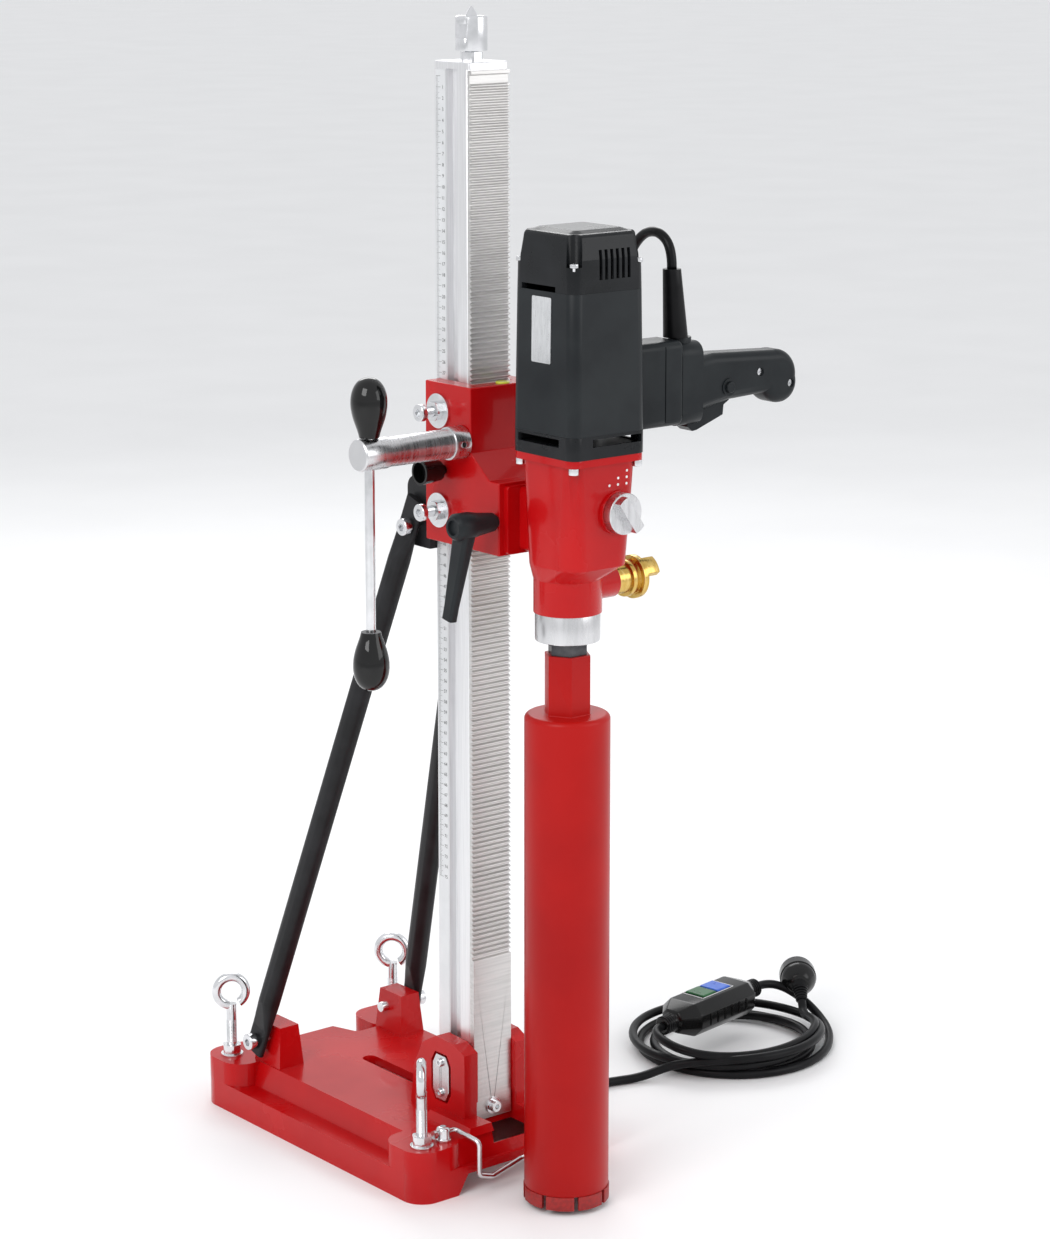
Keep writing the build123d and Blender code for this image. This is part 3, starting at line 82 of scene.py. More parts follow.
def mesh_piece(name, verts, faces, body, material, slot, smooth=True):
    """New mesh object that wears a material, and rides on a body when one is given."""
    mesh = bpy.data.meshes.new(name)
    mesh.from_pydata(verts, [], faces)
    mesh.update()
    piece = link(bpy.data.objects.new(name, mesh))
    dress(piece, material)
    if smooth:
        mesh.shade_smooth()
    if body:
        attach(piece, body)
    return piece


def dress(piece, material):
    piece.data.materials.clear()
    piece.data.materials.append(material)


def sharpen(piece, degrees):
    """Smooth shading that keeps edges sharper than the angle."""
    piece.data.set_sharp_from_angle(angle=math.radians(degrees))
    return piece


def axes_of(direction):
    """Two unit vectors across a direction."""
    direction = direction.normalized()
    side = direction.orthogonal().normalized()
    return side, direction.cross(side)


def circle_points(centre, side, up, radius, around):
    """Points of a circle in the plane of two unit vectors."""
    turns = [2 * math.pi * step / around for step in range(around)]
    return [centre + (side * math.cos(turn) + up * math.sin(turn)) * radius for turn in turns]


def ring_faces(rings, around):
    """Faces between rings of points, with both ends closed."""
    faces = []
    for ring in range(rings - 1):
        for step in range(around):
            a = ring * around + step
            b = ring * around + (step + 1) % around
            faces.append((a, b, b + around, a + around))
    last = (rings - 1) * around
    faces.append(tuple(reversed(range(around))))
    faces.append(tuple(range(last, last + around)))
    return faces


def turned(name, centre, direction, profile, body, material, slot, around=48):
    """Solid of revolution: profile is (distance along the axis, radius) in metres."""
    direction = Vector(direction).normalized()
    side, up = axes_of(direction)
    verts = []
    for along, radius in profile:
        verts += circle_points(Vector(centre) + direction * along, side, up, radius, around)
    piece = mesh_piece(name, verts, ring_faces(len(profile), around), body, material, slot)
    return sharpen(piece, TURNED_EDGE_ANGLE)


def tube_mesh(points, radius, around=14):
    """Verts and faces of a tube along points, with both ends closed."""
    verts = []
    side = axes_of(points[1] - points[0])[0]
    for index, point in enumerate(points):
        ahead = points[min(index + 1, len(points) - 1)] - points[max(index - 1, 0)]
        side = (side - ahead * side.dot(ahead) / ahead.length_squared).normalized()
        up = ahead.normalized().cross(side)
        verts += circle_points(point, side, up, radius, around)
    return verts, ring_faces(len(points), around)


def lofted(name, sections, body, material, slot, bevel=0.0018):
    """Closed shell through rings of points, with rounded edges."""
    verts = [point for ring in sections for point in ring]
    faces = ring_faces(len(sections), len(sections[0]))
    piece = mesh_piece(name, verts, faces, body, material, slot)
    mesh = bmesh.new()
    mesh.from_mesh(piece.data)
    bmesh.ops.recalc_face_normals(mesh, faces=mesh.faces)
    mesh.to_mesh(piece.data)
    mesh.free()
    rounding = piece.modifiers.new("rounding", "BEVEL")
    rounding.width = bevel
    rounding.segments = 3
    rounding.limit_method = "ANGLE"
    rounding.angle_limit = math.radians(18)
    return sharpen(piece, LOFTED_EDGE_ANGLE)


def slab(name, centre, along, across, up, size, body, material, slot):
    """Rounded bar between six faces, with its size along, across and up."""
    half_along, half_across, half_up = along * size[0] / 2, across * size[1] / 2, up * size[2] / 2
    corners = ((-1, -1), (1, -1), (1, 1), (-1, 1))
    sections = [[centre + end + b * half_across + c * half_up for b, c in corners]
                for end in (-half_along, half_along)]
    return lofted(name, sections, body, material, slot, bevel=min(size) * 0.3)


def nurbs_line(route):
    """Points along the smooth NURBS curve of a route."""
    curve = bpy.data.curves.new("route", "CURVE")
    curve.dimensions = "3D"
    curve.resolution_u = 12
    spline = curve.splines.new("NURBS")
    spline.points.add(len(route) - 1)
    for point, place in zip(spline.points, route):
        point.co = (*place, 1)
    spline.order_u = 3
    spline.use_endpoint_u = True
    holder = bpy.data.objects.new("route", curve)
    mesh = bpy.data.meshes.new_from_object(holder)
    line = [v.co.copy() for v in mesh.vertices]
    bpy.data.objects.remove(holder)
    return line


# --------------------------------------------------------------- materials
def new_material(name):
    material = bpy.data.materials.new(name)
    material.use_nodes = True
    tree = material.node_tree
    return material, tree, tree.nodes["Principled BSDF"]


def add_noise(tree, scale, detail, stretch):
    """Noise in the object's own coordinates."""
    place = tree.nodes.new("ShaderNodeTexCoord")
    mapping = tree.nodes.new("ShaderNodeMapping")
    mapping.inputs["Scale"].default_value = stretch
    noise = tree.nodes.new("ShaderNodeTexNoise")
    noise.inputs["Scale"].default_value = scale
    noise.inputs["Detail"].default_value = detail
    tree.links.new(place.outputs["Object"], mapping.inputs["Vector"])
    tree.links.new(mapping.outputs["Vector"], noise.inputs["Vector"])
    return noise.outputs["Fac"]


def ramp_colour(tree, factor, low, high):
    """Mottle between two colours."""
    ramp = tree.nodes.new("ShaderNodeValToRGB")
    ramp.color_ramp.elements[0].position = 0.35
    ramp.color_ramp.elements[1].position = 0.65
    ramp.color_ramp.elements[0].color = (*low, 1)
    ramp.color_ramp.elements[1].color = (*high, 1)
    tree.links.new(factor, ramp.inputs["Fac"])
    return ramp.outputs["Color"]


def span_value(tree, factor, low, high):
    """Noise spread between two values."""
    span = tree.nodes.new("ShaderNodeMapRange")
    span.inputs["From Min"].default_value = 0.3
    span.inputs["From Max"].default_value = 0.7
    span.inputs["To Min"].default_value = low
    span.inputs["To Max"].default_value = high
    tree.links.new(factor, span.inputs["Value"])
    return span.outputs["Result"]


def add_bump(tree, shader, height, strength, distance):
    bump = tree.nodes.new("ShaderNodeBump")
    bump.inputs["Strength"].default_value = strength
    bump.inputs["Distance"].default_value = distance
    tree.links.new(height, bump.inputs["Height"])
    tree.links.new(bump.outputs["Normal"], shader.inputs["Normal"])


def finish_material(name, low, high, rough, metallic=0.0, grain=60, stretch=(1, 1, 1),
                    bump=(0.1, 0.0002), bump_grain=None, coat=0.0, coat_rough=0.1, specular=0.5):
    """One procedural finish: mottled colour, uneven roughness and a fine relief.

    low and high are its colours, rough its roughness range, and bump its strength and depth.
    """
    material, tree, shader = new_material(name)
    shader.inputs["Metallic"].default_value = metallic
    shader.inputs["Coat Weight"].default_value = coat
    shader.inputs["Coat Roughness"].default_value = coat_rough
    shader.inputs["Specular IOR Level"].default_value = specular
    mottle = add_noise(tree, grain, 4, stretch)
    tree.links.new(ramp_colour(tree, mottle, low, high), shader.inputs["Base Color"])
    tree.links.new(span_value(tree, mottle, *rough), shader.inputs["Roughness"])
    relief = add_noise(tree, bump_grain or grain * 8, 3, stretch)
    add_bump(tree, shader, relief, *bump)
    return material


RED = finish_material(
    "red_enamel", (0.42, 0.0015, 0.003), (0.49, 0.003, 0.004), (0.20, 0.30), grain=14,
    bump=(0.10, 0.0002), bump_grain=220, coat=0.25, coat_rough=0.06, specular=0.15)
RED_TUBE = finish_material(
    "red_tube_enamel", (0.34, 0.002, 0.002), (0.41, 0.004, 0.003), (0.30, 0.40), grain=9,
    bump=(0.06, 0.0001), bump_grain=300, coat=0.10, coat_rough=0.25, specular=0.15)
BLACK_PAINT = finish_material(
    "black_powder_coat", (0.010, 0.010, 0.011), (0.017, 0.017, 0.019), (0.38, 0.5), grain=40,
    bump=(0.25, 0.0001), bump_grain=700, coat=0.05, coat_rough=0.3, specular=0.2)
COLUMN = finish_material(
    "column_aluminium", (0.80, 0.80, 0.81), (0.88, 0.88, 0.89), (0.28, 0.4), metallic=1.0, grain=60,
    stretch=(12, 12, 0.25), bump=(0.05, 0.0001), bump_grain=200)
MACHINED = finish_material(
    "turned_aluminium", (0.62, 0.62, 0.63), (0.70, 0.70, 0.71), (0.22, 0.32), metallic=1.0,
    grain=60, stretch=(4, 0.3, 0.3), bump=(0.004, 0.00001), bump_grain=120)
RACK = finish_material(
    "milled_steel", (0.56, 0.55, 0.54), (0.68, 0.67, 0.66), (0.3, 0.42), metallic=1.0, grain=70,
    stretch=(0.3, 2, 6), bump=(0.04, 0.00005), bump_grain=200)
ZINC = finish_material(
    "bright_zinc", (0.68, 0.69, 0.70), (0.82, 0.82, 0.84), (0.14, 0.26), metallic=1.0, grain=70,
    bump=(0.03, 0.00005), bump_grain=300)
STEEL = finish_material(
    "ground_steel", (0.36, 0.36, 0.37), (0.5, 0.5, 0.51), (0.25, 0.4), metallic=1.0, grain=90,
    bump=(0.05, 0.0001), bump_grain=400)
DARK_STEEL = finish_material(
    "oiled_steel", (0.05, 0.05, 0.055), (0.10, 0.10, 0.105), (0.3, 0.42), metallic=0.9, grain=90,
    bump=(0.05, 0.0001), bump_grain=400)
GLOSS_BLACK = finish_material(
    "polished_black", (0.003, 0.003, 0.003), (0.006, 0.006, 0.006), (0.05, 0.1), grain=30,
    bump=(0.01, 0.0001), coat=0.2, coat_rough=0.03, specular=0.3)
PLASTIC = finish_material(
    "grained_plastic", (0.010, 0.012, 0.014), (0.015, 0.018, 0.020), (0.36, 0.46), grain=25,
    bump=(0.2, 0.0001), bump_grain=900, specular=0.22)
COVER_PLASTIC = finish_material(
    "satin_plastic", (0.008, 0.009, 0.010), (0.013, 0.014, 0.016), (0.24, 0.34), grain=25,
    bump=(0.10, 0.0001), bump_grain=700, specular=0.2)
GRIP_PLASTIC = finish_material(
    "grip_plastic", (0.008, 0.010, 0.012), (0.013, 0.016, 0.018), (0.32, 0.42), grain=30,
    bump=(0.18, 0.0001), bump_grain=1000, specular=0.2)
BRASS = finish_material(
    "turned_brass", (0.60, 0.38, 0.09), (0.74, 0.52, 0.17), (0.18, 0.32), metallic=1.0, grain=80,
    stretch=(5, 1, 1), bump=(0.05, 0.0001), bump_grain=400)
FILM = finish_material(
    "scale_film", (0.72, 0.73, 0.74), (0.78, 0.79, 0.80), (0.3, 0.42), metallic=0.5, grain=40,
    bump=(0.05, 0.0001))
INK = finish_material(
    "scale_ink", (0.02, 0.02, 0.02), (0.05, 0.05, 0.05), (0.4, 0.5), grain=200)
DOTS = finish_material(
    "white_ink", (0.75, 0.75, 0.75), (0.85, 0.85, 0.85), (0.4, 0.5), grain=200)
PLATE = finish_material(
    "nameplate_foil", (0.66, 0.67, 0.68), (0.74, 0.75, 0.76), (0.25, 0.36), metallic=0.8, grain=80,
    stretch=(1, 8, 1), bump=(0.04, 0.0001))
SEGMENTS = finish_material(
    "painted_segments", (0.22, 0.004, 0.004), (0.34, 0.010, 0.008), (0.4, 0.6), grain=300,
    bump=(0.5, 0.0003), bump_grain=1200)
RUBBER = finish_material(
    "cord_rubber", (0.004, 0.004, 0.0045), (0.008, 0.008, 0.009), (0.28, 0.42), grain=50,
    bump=(0.15, 0.0001), bump_grain=500, specular=0.15)
SWITCH_BLACK = finish_material(
    "switch_black", (0.004, 0.004, 0.004), (0.007, 0.007, 0.007), (0.14, 0.24), grain=40,
    bump=(0.05, 0.0001), bump_grain=400, specular=0.3)
VIAL = finish_material(
    "level_liquid", (0.55, 0.62, 0.03), (0.68, 0.74, 0.06), (0.04, 0.1), grain=60,
    bump=(0.02, 0.0001), coat=0.6, coat_rough=0.02)
GREEN = finish_material(
    "green_key", (0.010, 0.09, 0.025), (0.02, 0.13, 0.04), (0.25, 0.35), grain=90)
BLUE = finish_material(
    "blue_key", (0.03, 0.11, 0.55), (0.05, 0.16, 0.66), (0.25, 0.35), grain=90)

FINISHES = {
    RED: ["base_casting", "carriage_housing", "gearbox_housing", "mount_plate"],
    RED_TUBE: ["core_bit"],
    BLACK_PAINT: ["struts", "strut_bracket"],
    COLUMN: ["column", "column_cap"],
    MACHINED: ["clamp_plates", "crank_hub", "water_collar", "brush_holders", "gear_knob"],
    RACK: ["gear_rack"],
    FILM: ["scale_strip"],
    ZINC: ["stand_fasteners", "roller_axles", "drill_screws", "jack_screw", "levelling_screw_front_left",
           "levelling_screw_front_right", "levelling_screw_back_left", "levelling_screw_back_right",
           "centre_pointer", "pointer_clamp", "crank_bar"],
    STEEL: ["bearings", "guide_roller_lower_left", "guide_roller_upper_left", "guide_roller_lower_right",
            "guide_roller_upper_right", "pinion_shaft", "layshaft", "armature", "stator", "bearing_plate"],
    DARK_STEEL: ["spindle"],
    GLOSS_BLACK: ["crank_knobs", "lock_knob"],
    PLASTIC: ["motor_housing", "clamp_lever", "fan"],
    COVER_PLASTIC: ["motor_end_ring", "motor_cover"],
    GRIP_PLASTIC: ["switch_box", "grip", "trigger", "lock_button"],
    BRASS: ["water_coupling"],
    VIAL: ["spirit_level"],
    SEGMENTS: ["bit_segments"],
    PLATE: ["nameplate"],
    RUBBER: ["cable_boot", "cord_lead", "cord_coil", "mains_plug", "safety_switch"],
    GREEN: ["test_button"],
    BLUE: ["reset_button"],
}
# Rounding of the nodes' edges in metres: the usual one, and those that differ from it.
EDGE = 0.0006
EDGES = {
    "base_casting": 0.0028, "carriage_housing": 0.0012, "gearbox_housing": 0.0015,
    "motor_housing": 0.001, "motor_cover": 0.0008, "cable_boot": 0.001, "column": 0.0005,
    "bit_segments": 0.0004, "gear_rack": 0.0003, "nameplate": 0.0002, "spirit_level": 0.0002,
    "scale_strip": 0, "layshaft": 0, "armature": 0, "crank_knobs": 0, "centre_pointer": 0}

for finish, wearers in FINISHES.items():
    for wearer in wearers:
        dress(nodes[wearer], finish)


def round_edges(node, width):
    """Join the node's doubled corners and round its edges, so that they catch the light."""
    obj = nodes[node]
    weld = obj.modifiers.new("weld", "WELD")
    weld.merge_threshold = 0.00001
    if width:
        bevel = obj.modifiers.new("edges", "BEVEL")
        bevel.width = width
        bevel.segments = 2
        bevel.limit_method = "ANGLE"
        bevel.angle_limit = math.radians(40)


for node in nodes:
    round_edges(node, EDGES.get(node, EDGE))

# -------------------------------------------------------------------- cord
CORD_RADIUS = 0.0045
CORD_ROUTE = [
    (0.108, -0.265, 0.861), (0.108, -0.265, 0.880), (0.1075, -0.247, 0.894), (0.107, -0.223, 0.889),
    (0.107, -0.200, 0.857), (0.110, -0.165, 0.780), (0.118, -0.133, 0.680), (0.125, -0.110, 0.575),
    (0.132, -0.091, 0.460), (0.138, -0.078, 0.345), (0.141, -0.071, 0.235), (0.142, -0.066, 0.140),
    (0.146, -0.062, 0.079), (0.152, -0.0595, 0.045), (0.166, -0.055, 0.021), (0.190, -0.052, 0.0065),
    (0.222, -0.055, 0.0045), (0.252, -0.066, 0.0050), (0.2815, -0.0745, 0.0125)]
coil_low, coil_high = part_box("cord_coil")
coil_centre = (coil_low + coil_high) / 2
# Loose turns, counted in degrees round the coil: (turn, radius, height). They differ in size and
# fan out.
TURNS_TO_SWITCH = (
    (-152, 0.109, 0.0190), (-120, 0.104, 0.0228), (-60, 0.100, 0.0225), (0, 0.100, 0.0150),
    (90, 0.100, 0.0140), (180, 0.106, 0.0140), (240, 0.101, 0.0138), (300, 0.088, 0.0138),
    (360, 0.080, 0.0100), (420, 0.077, 0.0047), (540, 0.082, 0.0046), (660, 0.090, 0.0046),
    (750, 0.090, 0.0046), (900, 0.098, 0.0046), (1020, 0.105, 0.0046), (1050, 0.111, 0.0060),
    (1070, 0.1135, 0.0150), (1085, 0.112, 0.0270))
TURN_FROM_SWITCH = (
    (196, 0.1130, 0.0330), (215, 0.1080, 0.0262), (240, 0.095, 0.0226), (270, 0.0885, 0.0222),
    (300, 0.0895, 0.0226), (324, 0.0935, 0.0250))
TURN_STEP = 30
# Places on the safety switch, along, across and up from its middle, that the cord runs through.
THROUGH_SWITCH = (
    (0.110, -0.010, -0.003), (0.095, 0.0, 0.0), (0.070, 0.0, 0.0), (0.0, 0.0, 0.0),
    (-0.070, 0.0, 0.0), (-0.095, 0.0, -0.001))


def coil_points(keys):
    """Points along loose turns round the coil's middle, with a point at each key and between them."""
    points = []
    for (turn, radius, lift), (next_turn, next_radius, next_lift) in zip(keys, keys[1:] + keys[-1:]):
        steps = max(1, round((next_turn - turn) / TURN_STEP))
        for step in range(steps):
            mix = step / steps
            angle = math.radians(turn + (next_turn - turn) * mix)
            reach = radius + (next_radius - radius) * mix
            x = coil_centre.x + reach * math.cos(angle)
            y = coil_centre.y + reach * math.sin(angle)
            points.append((x, y, lift + (next_lift - lift) * mix))
    return points


SWITCH_HEADING = math.radians(10)
SWITCH_AXIS_LIFT = 0.017
up_axis = Vector((0, 0, 1))
switch_axis = Vector((math.cos(SWITCH_HEADING), math.sin(SWITCH_HEADING), 0))
switch_across = Vector((-switch_axis.y, switch_axis.x, 0))
switch_low, switch_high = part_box("safety_switch")
switch_centre = (switch_low + switch_high) / 2
switch_centre.z = switch_low.z + SWITCH_AXIS_LIFT


def on_switch(along, across=0.0, up=0.0):
    """A point by its place on the safety switch."""
    return switch_centre + switch_axis * along + switch_across * across + up_axis * up


# The plug's middle lies this far behind the middle of its box, which holds the pins too.
PLUG_PINS_SHIFT = 0.0065
NECK_ROOT_BACK = 0.014
NECK_LENGTH = 0.024
CORD_INSIDE_NECK = 0.006
CORD_BEYOND_NECK = 0.018
plug_heading = Vector((0.63, 0.777, 0)).normalized()
plug_low, plug_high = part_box("mains_plug")
plug_middle = (plug_low + plug_high) / 2 - plug_heading * PLUG_PINS_SHIFT
neck_heading = Vector((-0.46, -0.66, -0.60)).normalized()
neck_root = plug_middle - plug_heading * NECK_ROOT_BACK
neck_end = neck_root + neck_heading * NECK_LENGTH

cord_route = CORD_ROUTE + coil_points(TURNS_TO_SWITCH)
cord_route += [tuple(on_switch(*place)) for place in THROUGH_SWITCH]
cord_route += coil_points(TURN_FROM_SWITCH)
cord_route.append(tuple(neck_end + neck_heading * CORD_BEYOND_NECK))
cord_route.append(tuple(neck_end))
cord_route.append(tuple(neck_root + neck_heading * CORD_INSIDE_NECK))
cord_line = nurbs_line(cord_route)
mains_lead = mesh_piece("mains_lead", *tube_mesh(cord_line, CORD_RADIUS), None, RUBBER, "cord_rubber")
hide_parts("cord_lead", "cord_coil")
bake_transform(mains_lead)

# ----------------------------------------------------------- safety switch
# Sections: (place along the switch, half width, lowest, highest, corner cut), from its axis.
SWITCH_SECTIONS = (
    (-0.0800, 0.0080, -0.0080, 0.0080, 0.0040), (-0.0640, 0.0092, -0.0092, 0.0092, 0.0045),
    (-0.0625, 0.0130, -0.0110, 0.0120, 0.0055), (-0.0450, 0.0260, -0.0170, 0.0180, 0.0100),
    (0.0450, 0.0260, -0.0170, 0.0180, 0.0100), (0.0625, 0.0130, -0.0110, 0.0120, 0.0055),
    (0.0640, 0.0092, -0.0092, 0.0092, 0.0045), (0.0800, 0.0080, -0.0080, 0.0080, 0.0040))


def switch_ring(along, half_width, low, high, cut):
    """Eight-sided section of the switch."""
    corners = ((half_width, low + cut), (half_width, high - cut), (half_width - cut, high),
               (cut - half_width, high), (-half_width, high - cut), (-half_width, low + cut),
               (cut - half_width, low), (half_width - cut, low))
    return [on_switch(along, across, up) for across, up in corners]


switch_shell = lofted("switch_shell", [switch_ring(*section) for section in SWITCH_SECTIONS], "base",
                      SWITCH_BLACK, "dark_plastic")
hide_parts("safety_switch")

# Ribbed strain reliefs at both ends: a rib and its groove as (distance along, radius).
RELIEF_ROOT = 0.0645
RELIEF_PITCH = 0.0030
RELIEF_RIBS = 5
RELIEF_RIB = ((0, 0.0098), (0.0016, 0.0098), (0.0020, 0.0086), (0.0026, 0.0086))
relief_profile = [(step * RELIEF_PITCH + along, radius)
                  for step in range(RELIEF_RIBS) for along, radius in RELIEF_RIB]
for side_name, end in (("left", -1), ("right", 1)):
    relief = turned("switch_relief_" + side_name, on_switch(end * RELIEF_ROOT), switch_axis * end,
                    relief_profile, "base", RUBBER, "cord_rubber", around=28)

# Ribs on the side that faces the machine's front.
RIB_COUNT = 6
RIB_PITCH = 0.012
FIRST_RIB = -0.030
RIB_SIDE = -0.0262
RIB_LIFT = 0.0005
RIB_SIZE = (0.0022, 0.0016, 0.0130)
for index in range(RIB_COUNT):
    place = on_switch(FIRST_RIB + index * RIB_PITCH, RIB_SIDE, RIB_LIFT)
    slab(f"switch_rib_{index + 1}", place, switch_axis, switch_across, up_axis,
                             RIB_SIZE, "base", SWITCH_BLACK, "dark_plastic")

# Light frame round the two buttons, which sit off the switch's middle line.
BUTTON_SHIFT = 0.002
FRAME_LIFT = 0.0182
FRAME_BAR = 0.0008
FRAME_THICKNESS = 0.0005
FRAME_LONG_BAR = 0.052
FRAME_SHORT_BAR = 0.027
FRAME_HALF_LENGTH = 0.0257
FRAME_HALF_WIDTH = 0.0135
FRAME_BARS = (
    ("front", 0.0, -FRAME_HALF_WIDTH, FRAME_LONG_BAR, FRAME_BAR),
    ("back", 0.0, FRAME_HALF_WIDTH, FRAME_LONG_BAR, FRAME_BAR),
    ("left", -FRAME_HALF_LENGTH, 0.0, FRAME_BAR, FRAME_SHORT_BAR),
    ("right", FRAME_HALF_LENGTH, 0.0, FRAME_BAR, FRAME_SHORT_BAR))
for name, along, across, length, width in FRAME_BARS:
    place = on_switch(along, across + BUTTON_SHIFT, FRAME_LIFT)
    slab("button_frame_" + name, place, switch_axis, switch_across, up_axis,
                             (length, width, FRAME_THICKNESS), "base", DOTS, "dark_plastic")

# -------------------------------------------------------------- mains plug
# Profiles: (distance along the heading, radius).
PLUG_PROFILE = (
    (-0.0205, 0.0080), (-0.0195, 0.0105), (-0.0150, 0.0135), (-0.0100, 0.0172), (-0.0060, 0.0186),
    (-0.0045, 0.0186), (-0.0040, 0.0176), (-0.0020, 0.0176), (-0.0015, 0.0195), (0.0110, 0.0195),
    (0.0115, 0.0187), (0.0160, 0.0187))
PIN_PROFILE = ((0.0, 0.0024), (0.0175, 0.0024), (0.0185, 0.0019), (0.0190, 0.0010))
PIN_OFFSET = 0.0095
PLUG_FACE = 0.0160
plug_body = turned("plug_body", plug_middle, plug_heading, PLUG_PROFILE, "base", SWITCH_BLACK, "cord_rubber")
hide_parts("mains_plug")

# Neck: a collar, then ribs and grooves that get thinner.
NECK_RIB_PITCH = 0.003
neck_profile = [(0.0, 0.0088), (0.008, 0.0086)]
for step in range(5):
    start = step * NECK_RIB_PITCH
    crest = 0.0078 - step * 0.0004
    groove = 0.0064 - step * 0.0002
    neck_profile += [(0.009 + start, crest), (0.0105 + start, crest)]
    neck_profile += [(0.0108 + start, groove), (0.0117 + start, groove)]
plug_neck = turned("plug_neck", neck_root, neck_heading, neck_profile, "base", RUBBER, "cord_rubber",
                   around=28)

plug_side = plug_heading.cross(up_axis)
for side_name, end in (("left", -1), ("right", 1)):
    root = plug_middle + plug_side * end * PIN_OFFSET + plug_heading * PLUG_FACE
    pin = turned("plug_pin_" + side_name, root, plug_heading, PIN_PROFILE, "base", ZINC, "zinc_steel",
                 around=20)

# ----------------------------------------------------------- scale markings
MILLIMETRE = 0.001
SCALE_LENGTH = 750
INK_LIFT = 0.00012
DIGIT_SIZE = 0.0046
DIGIT_REACH = 0.0098
TOP_MARGIN = 0.006
EDGE_MARGIN = 0.0008
scale_low, scale_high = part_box("scale_strip")
ink_x = scale_low.x - INK_LIFT
scale_top = scale_high.z - TOP_MARGIN
scale_edge = scale_high.y - EDGE_MARGIN


def tick_size(tick):
    """Length and half thickness of a millimetre's tick."""
    if tick % 10 == 0:
        return 0.0065, 0.00014
    if tick % 5 == 0:
        return 0.0048, 0.00009
    return 0.0030, 0.00009


def scale_ticks():
    """A tick for each millimetre, counted down from the top."""
    verts, faces = [], []
    for tick in range(SCALE_LENGTH + 1):
        length, thick = tick_size(tick)
        middle = scale_top - tick * MILLIMETRE
        end = scale_edge - length
        first = len(verts)
        verts += [(ink_x, y, middle + z) for y, z in (
            (scale_edge, -thick), (scale_edge, thick), (end, thick), (end, -thick))]
        faces.append((first, first + 1, first + 2, first + 3))
    return verts, faces


def scale_digits():
    """Centimetre numbers beside the ticks, counted down from the top."""
    verts, faces = [], []
    for number in range(1, SCALE_LENGTH // 10 + 1):
        text = bpy.data.curves.new("digits", "FONT")
        text.body = str(number)
        text.size = DIGIT_SIZE
        text.resolution_u = 2
        text.align_x = "CENTER"
        text.align_y = "CENTER"
        holder = bpy.data.objects.new("digits", text)
        mesh = bpy.data.meshes.new_from_object(holder)
        first = len(verts)
        middle = scale_top - number * 10 * MILLIMETRE
        for vertex in mesh.vertices:
            verts.append((ink_x, scale_edge - DIGIT_REACH - vertex.co.x, middle + vertex.co.y))
        faces += [tuple(first + corner for corner in face.vertices) for face in mesh.polygons]
        bpy.data.objects.remove(holder)
    return verts, faces


mesh_piece("scale_ticks", *scale_ticks(), "base", INK, "scale_film", smooth=False)
mesh_piece("scale_digits", *scale_digits(), "base", INK, "scale_film", smooth=False)

# -------------------------------------------------------------- speed marks
# Columns of one, two and three dots above the gear knob, on the gearbox wall.
MARK_PROFILE = ((0, 0.0012), (0.0004, 0.0012), (0.0005, 0.0010))
MARK_FIRST_COLUMN = 0.004
MARK_COLUMN_STEP = 0.0098
MARK_FIRST_ROW = 0.0065
MARK_ROW_STEP = 0.0058
MARK_LIFT = 0.0002
WALL_DEPTH = 0.038
WALL_BELOW_RING = 0.0066
WALL_HEIGHT = 0.095
WALL_LEAN = 0.0045
knob_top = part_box("gear_knob")[1].z
ring_low, ring_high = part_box("motor_end_ring")
motor_y = (ring_low.y + ring_high.y) / 2
wall_top = ring_low.z - WALL_BELOW_RING


def gearbox_front(height):
    """Front face of the leaning gearbox wall at a height."""
    return motor_y - WALL_DEPTH + (wall_top - height) / WALL_HEIGHT * WALL_LEAN


for column in range(3):
    for row in range(column + 1):
        height = knob_top + MARK_FIRST_ROW + row * MARK_ROW_STEP
        place = (MARK_FIRST_COLUMN + column * MARK_COLUMN_STEP, gearbox_front(height) + MARK_LIFT, height)
        turned(f"speed_mark_{column + 1}_{row + 1}", place, (0, -1, 0), MARK_PROFILE, "carriage", DOTS,
               "red_paint", around=20)

# ------------------------------------------------------------------ threads
THREAD_PITCH = 0.0015
THREAD_ROOT = 0.97
THREAD_CREST = 1.06
CREST_START = 0.4
CREST_END = 0.6
LEVELLER_RADIUS = 0.005
LEVELLER_THREAD = (0.063, 0.087)
JACK_RADIUS = 0.006
JACK_THREAD = (-0.030, 0.009)


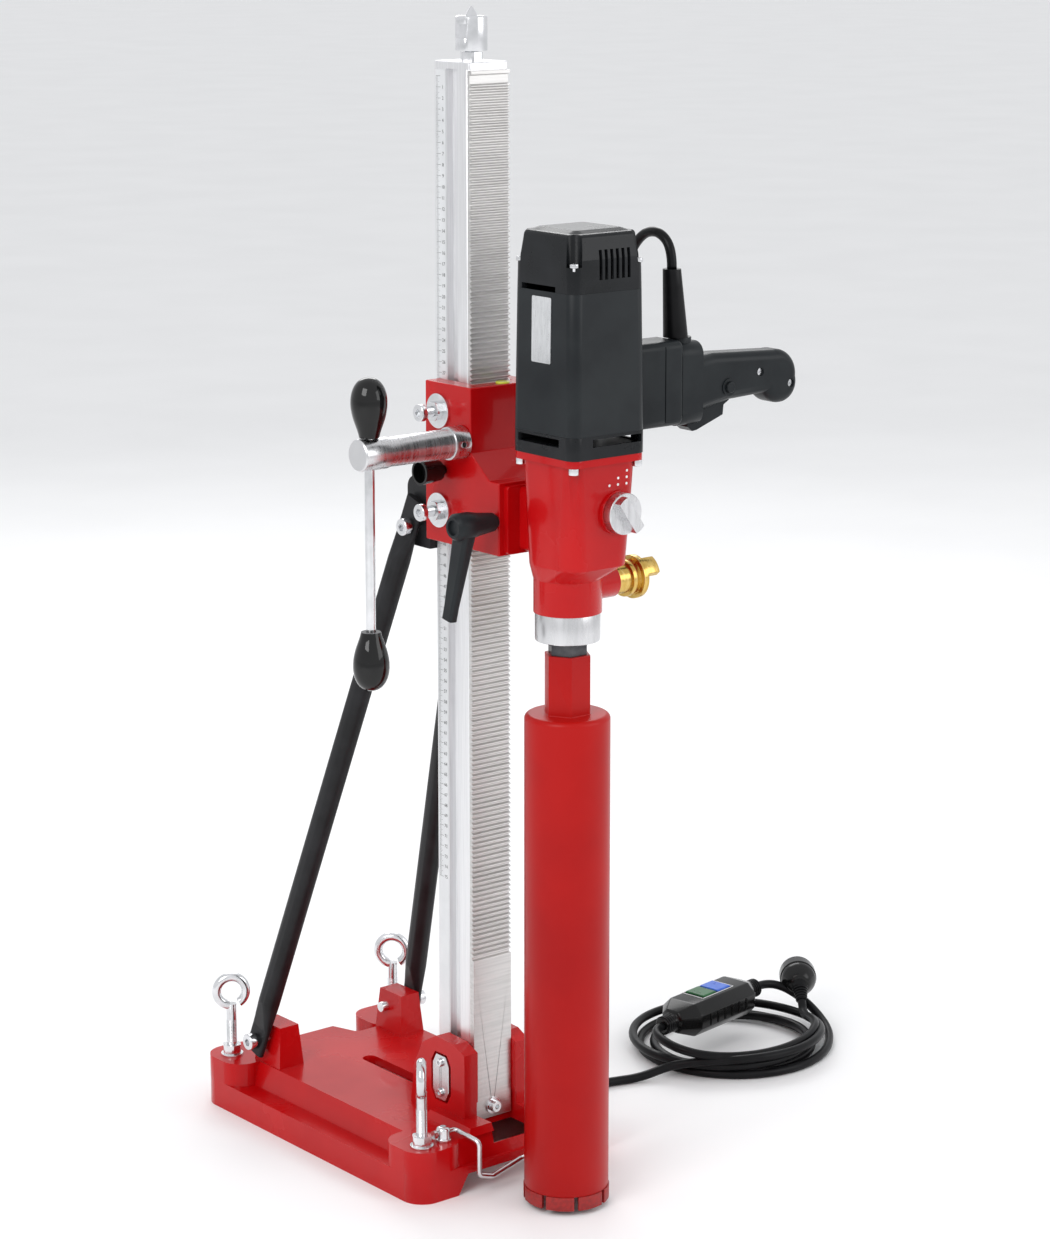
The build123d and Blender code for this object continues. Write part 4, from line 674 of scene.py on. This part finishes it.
def thread(name, screw, bottom, top, radius, body):
    """Row of thread crests round a node that is a screw."""
    profile = [(0, radius * THREAD_ROOT)]
    for turn in range(int((top - bottom) / THREAD_PITCH)):
        start = turn * THREAD_PITCH
        profile.append((start + THREAD_PITCH * CREST_START, radius * THREAD_CREST))
        profile.append((start + THREAD_PITCH * CREST_END, radius * THREAD_CREST))
        profile.append((start + THREAD_PITCH, radius * THREAD_ROOT))
    low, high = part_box(screw)
    place = ((low.x + high.x) / 2, (low.y + high.y) / 2, bottom)
    turned(name, place, (0, 0, 1), profile, body, ZINC, "zinc_steel", around=28)


for corner in ("front_left", "front_right", "back_left", "back_right"):
    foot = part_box("levelling_screw_" + corner)[0].z
    bottom, top = (foot + height for height in LEVELLER_THREAD)
    thread("thread_" + corner, "levelling_screw_" + corner, bottom, top, LEVELLER_RADIUS,
           "leveller_" + corner)
cap_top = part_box("column_cap")[1].z
bottom, top = (cap_top + height for height in JACK_THREAD)
thread("jack_thread", "jack_screw", bottom, top, JACK_RADIUS, "jack")

# ------------------------------------------------------------------- stage
FLOOR_SIZE = 80.0
floor_mesh = bpy.data.meshes.new("floor")
half = FLOOR_SIZE / 2
floor_corners = [(-half, -half, 0), (half, -half, 0), (half, half, 0), (-half, half, 0)]
floor_mesh.from_pydata(floor_corners, [], [(0, 1, 2, 3)])
floor = link(bpy.data.objects.new("floor", floor_mesh))
floor_paint = finish_material(
    "pale_floor", (0.90, 0.90, 0.90), (0.92, 0.92, 0.92), (0.7, 0.8), grain=3, bump=(0.02, 0.0001),
    specular=0.1)
dress(floor, floor_paint)

world = bpy.data.worlds.new("world")
world.use_nodes = True
world.node_tree.nodes["Background"].inputs["Color"].default_value = (0.97, 0.98, 1.0, 1)
world.node_tree.nodes["Background"].inputs["Strength"].default_value = 0.85
scene.world = world

LIGHT_TARGET = Vector((0.05, -0.1, 0.5))


def add_light(name, place, size, power):
    """Soft light that faces the machine."""
    light = bpy.data.lights.new(name, "AREA")
    light.shape = "RECTANGLE"
    light.size, light.size_y = size
    light.energy = power
    obj = link(bpy.data.objects.new(name, light))
    obj.location = place
    obj.rotation_euler = (LIGHT_TARGET - Vector(place)).to_track_quat("-Z", "Y").to_euler()


add_light("key", (-2.6, -1.0, 2.4), (1.6, 1.6), 42)
add_light("fill", (1.6, -2.6, 1.6), (2.2, 1.6), 22)
add_light("rim", (1.4, 2.2, 2.2), (2.0, 1.2), 26)
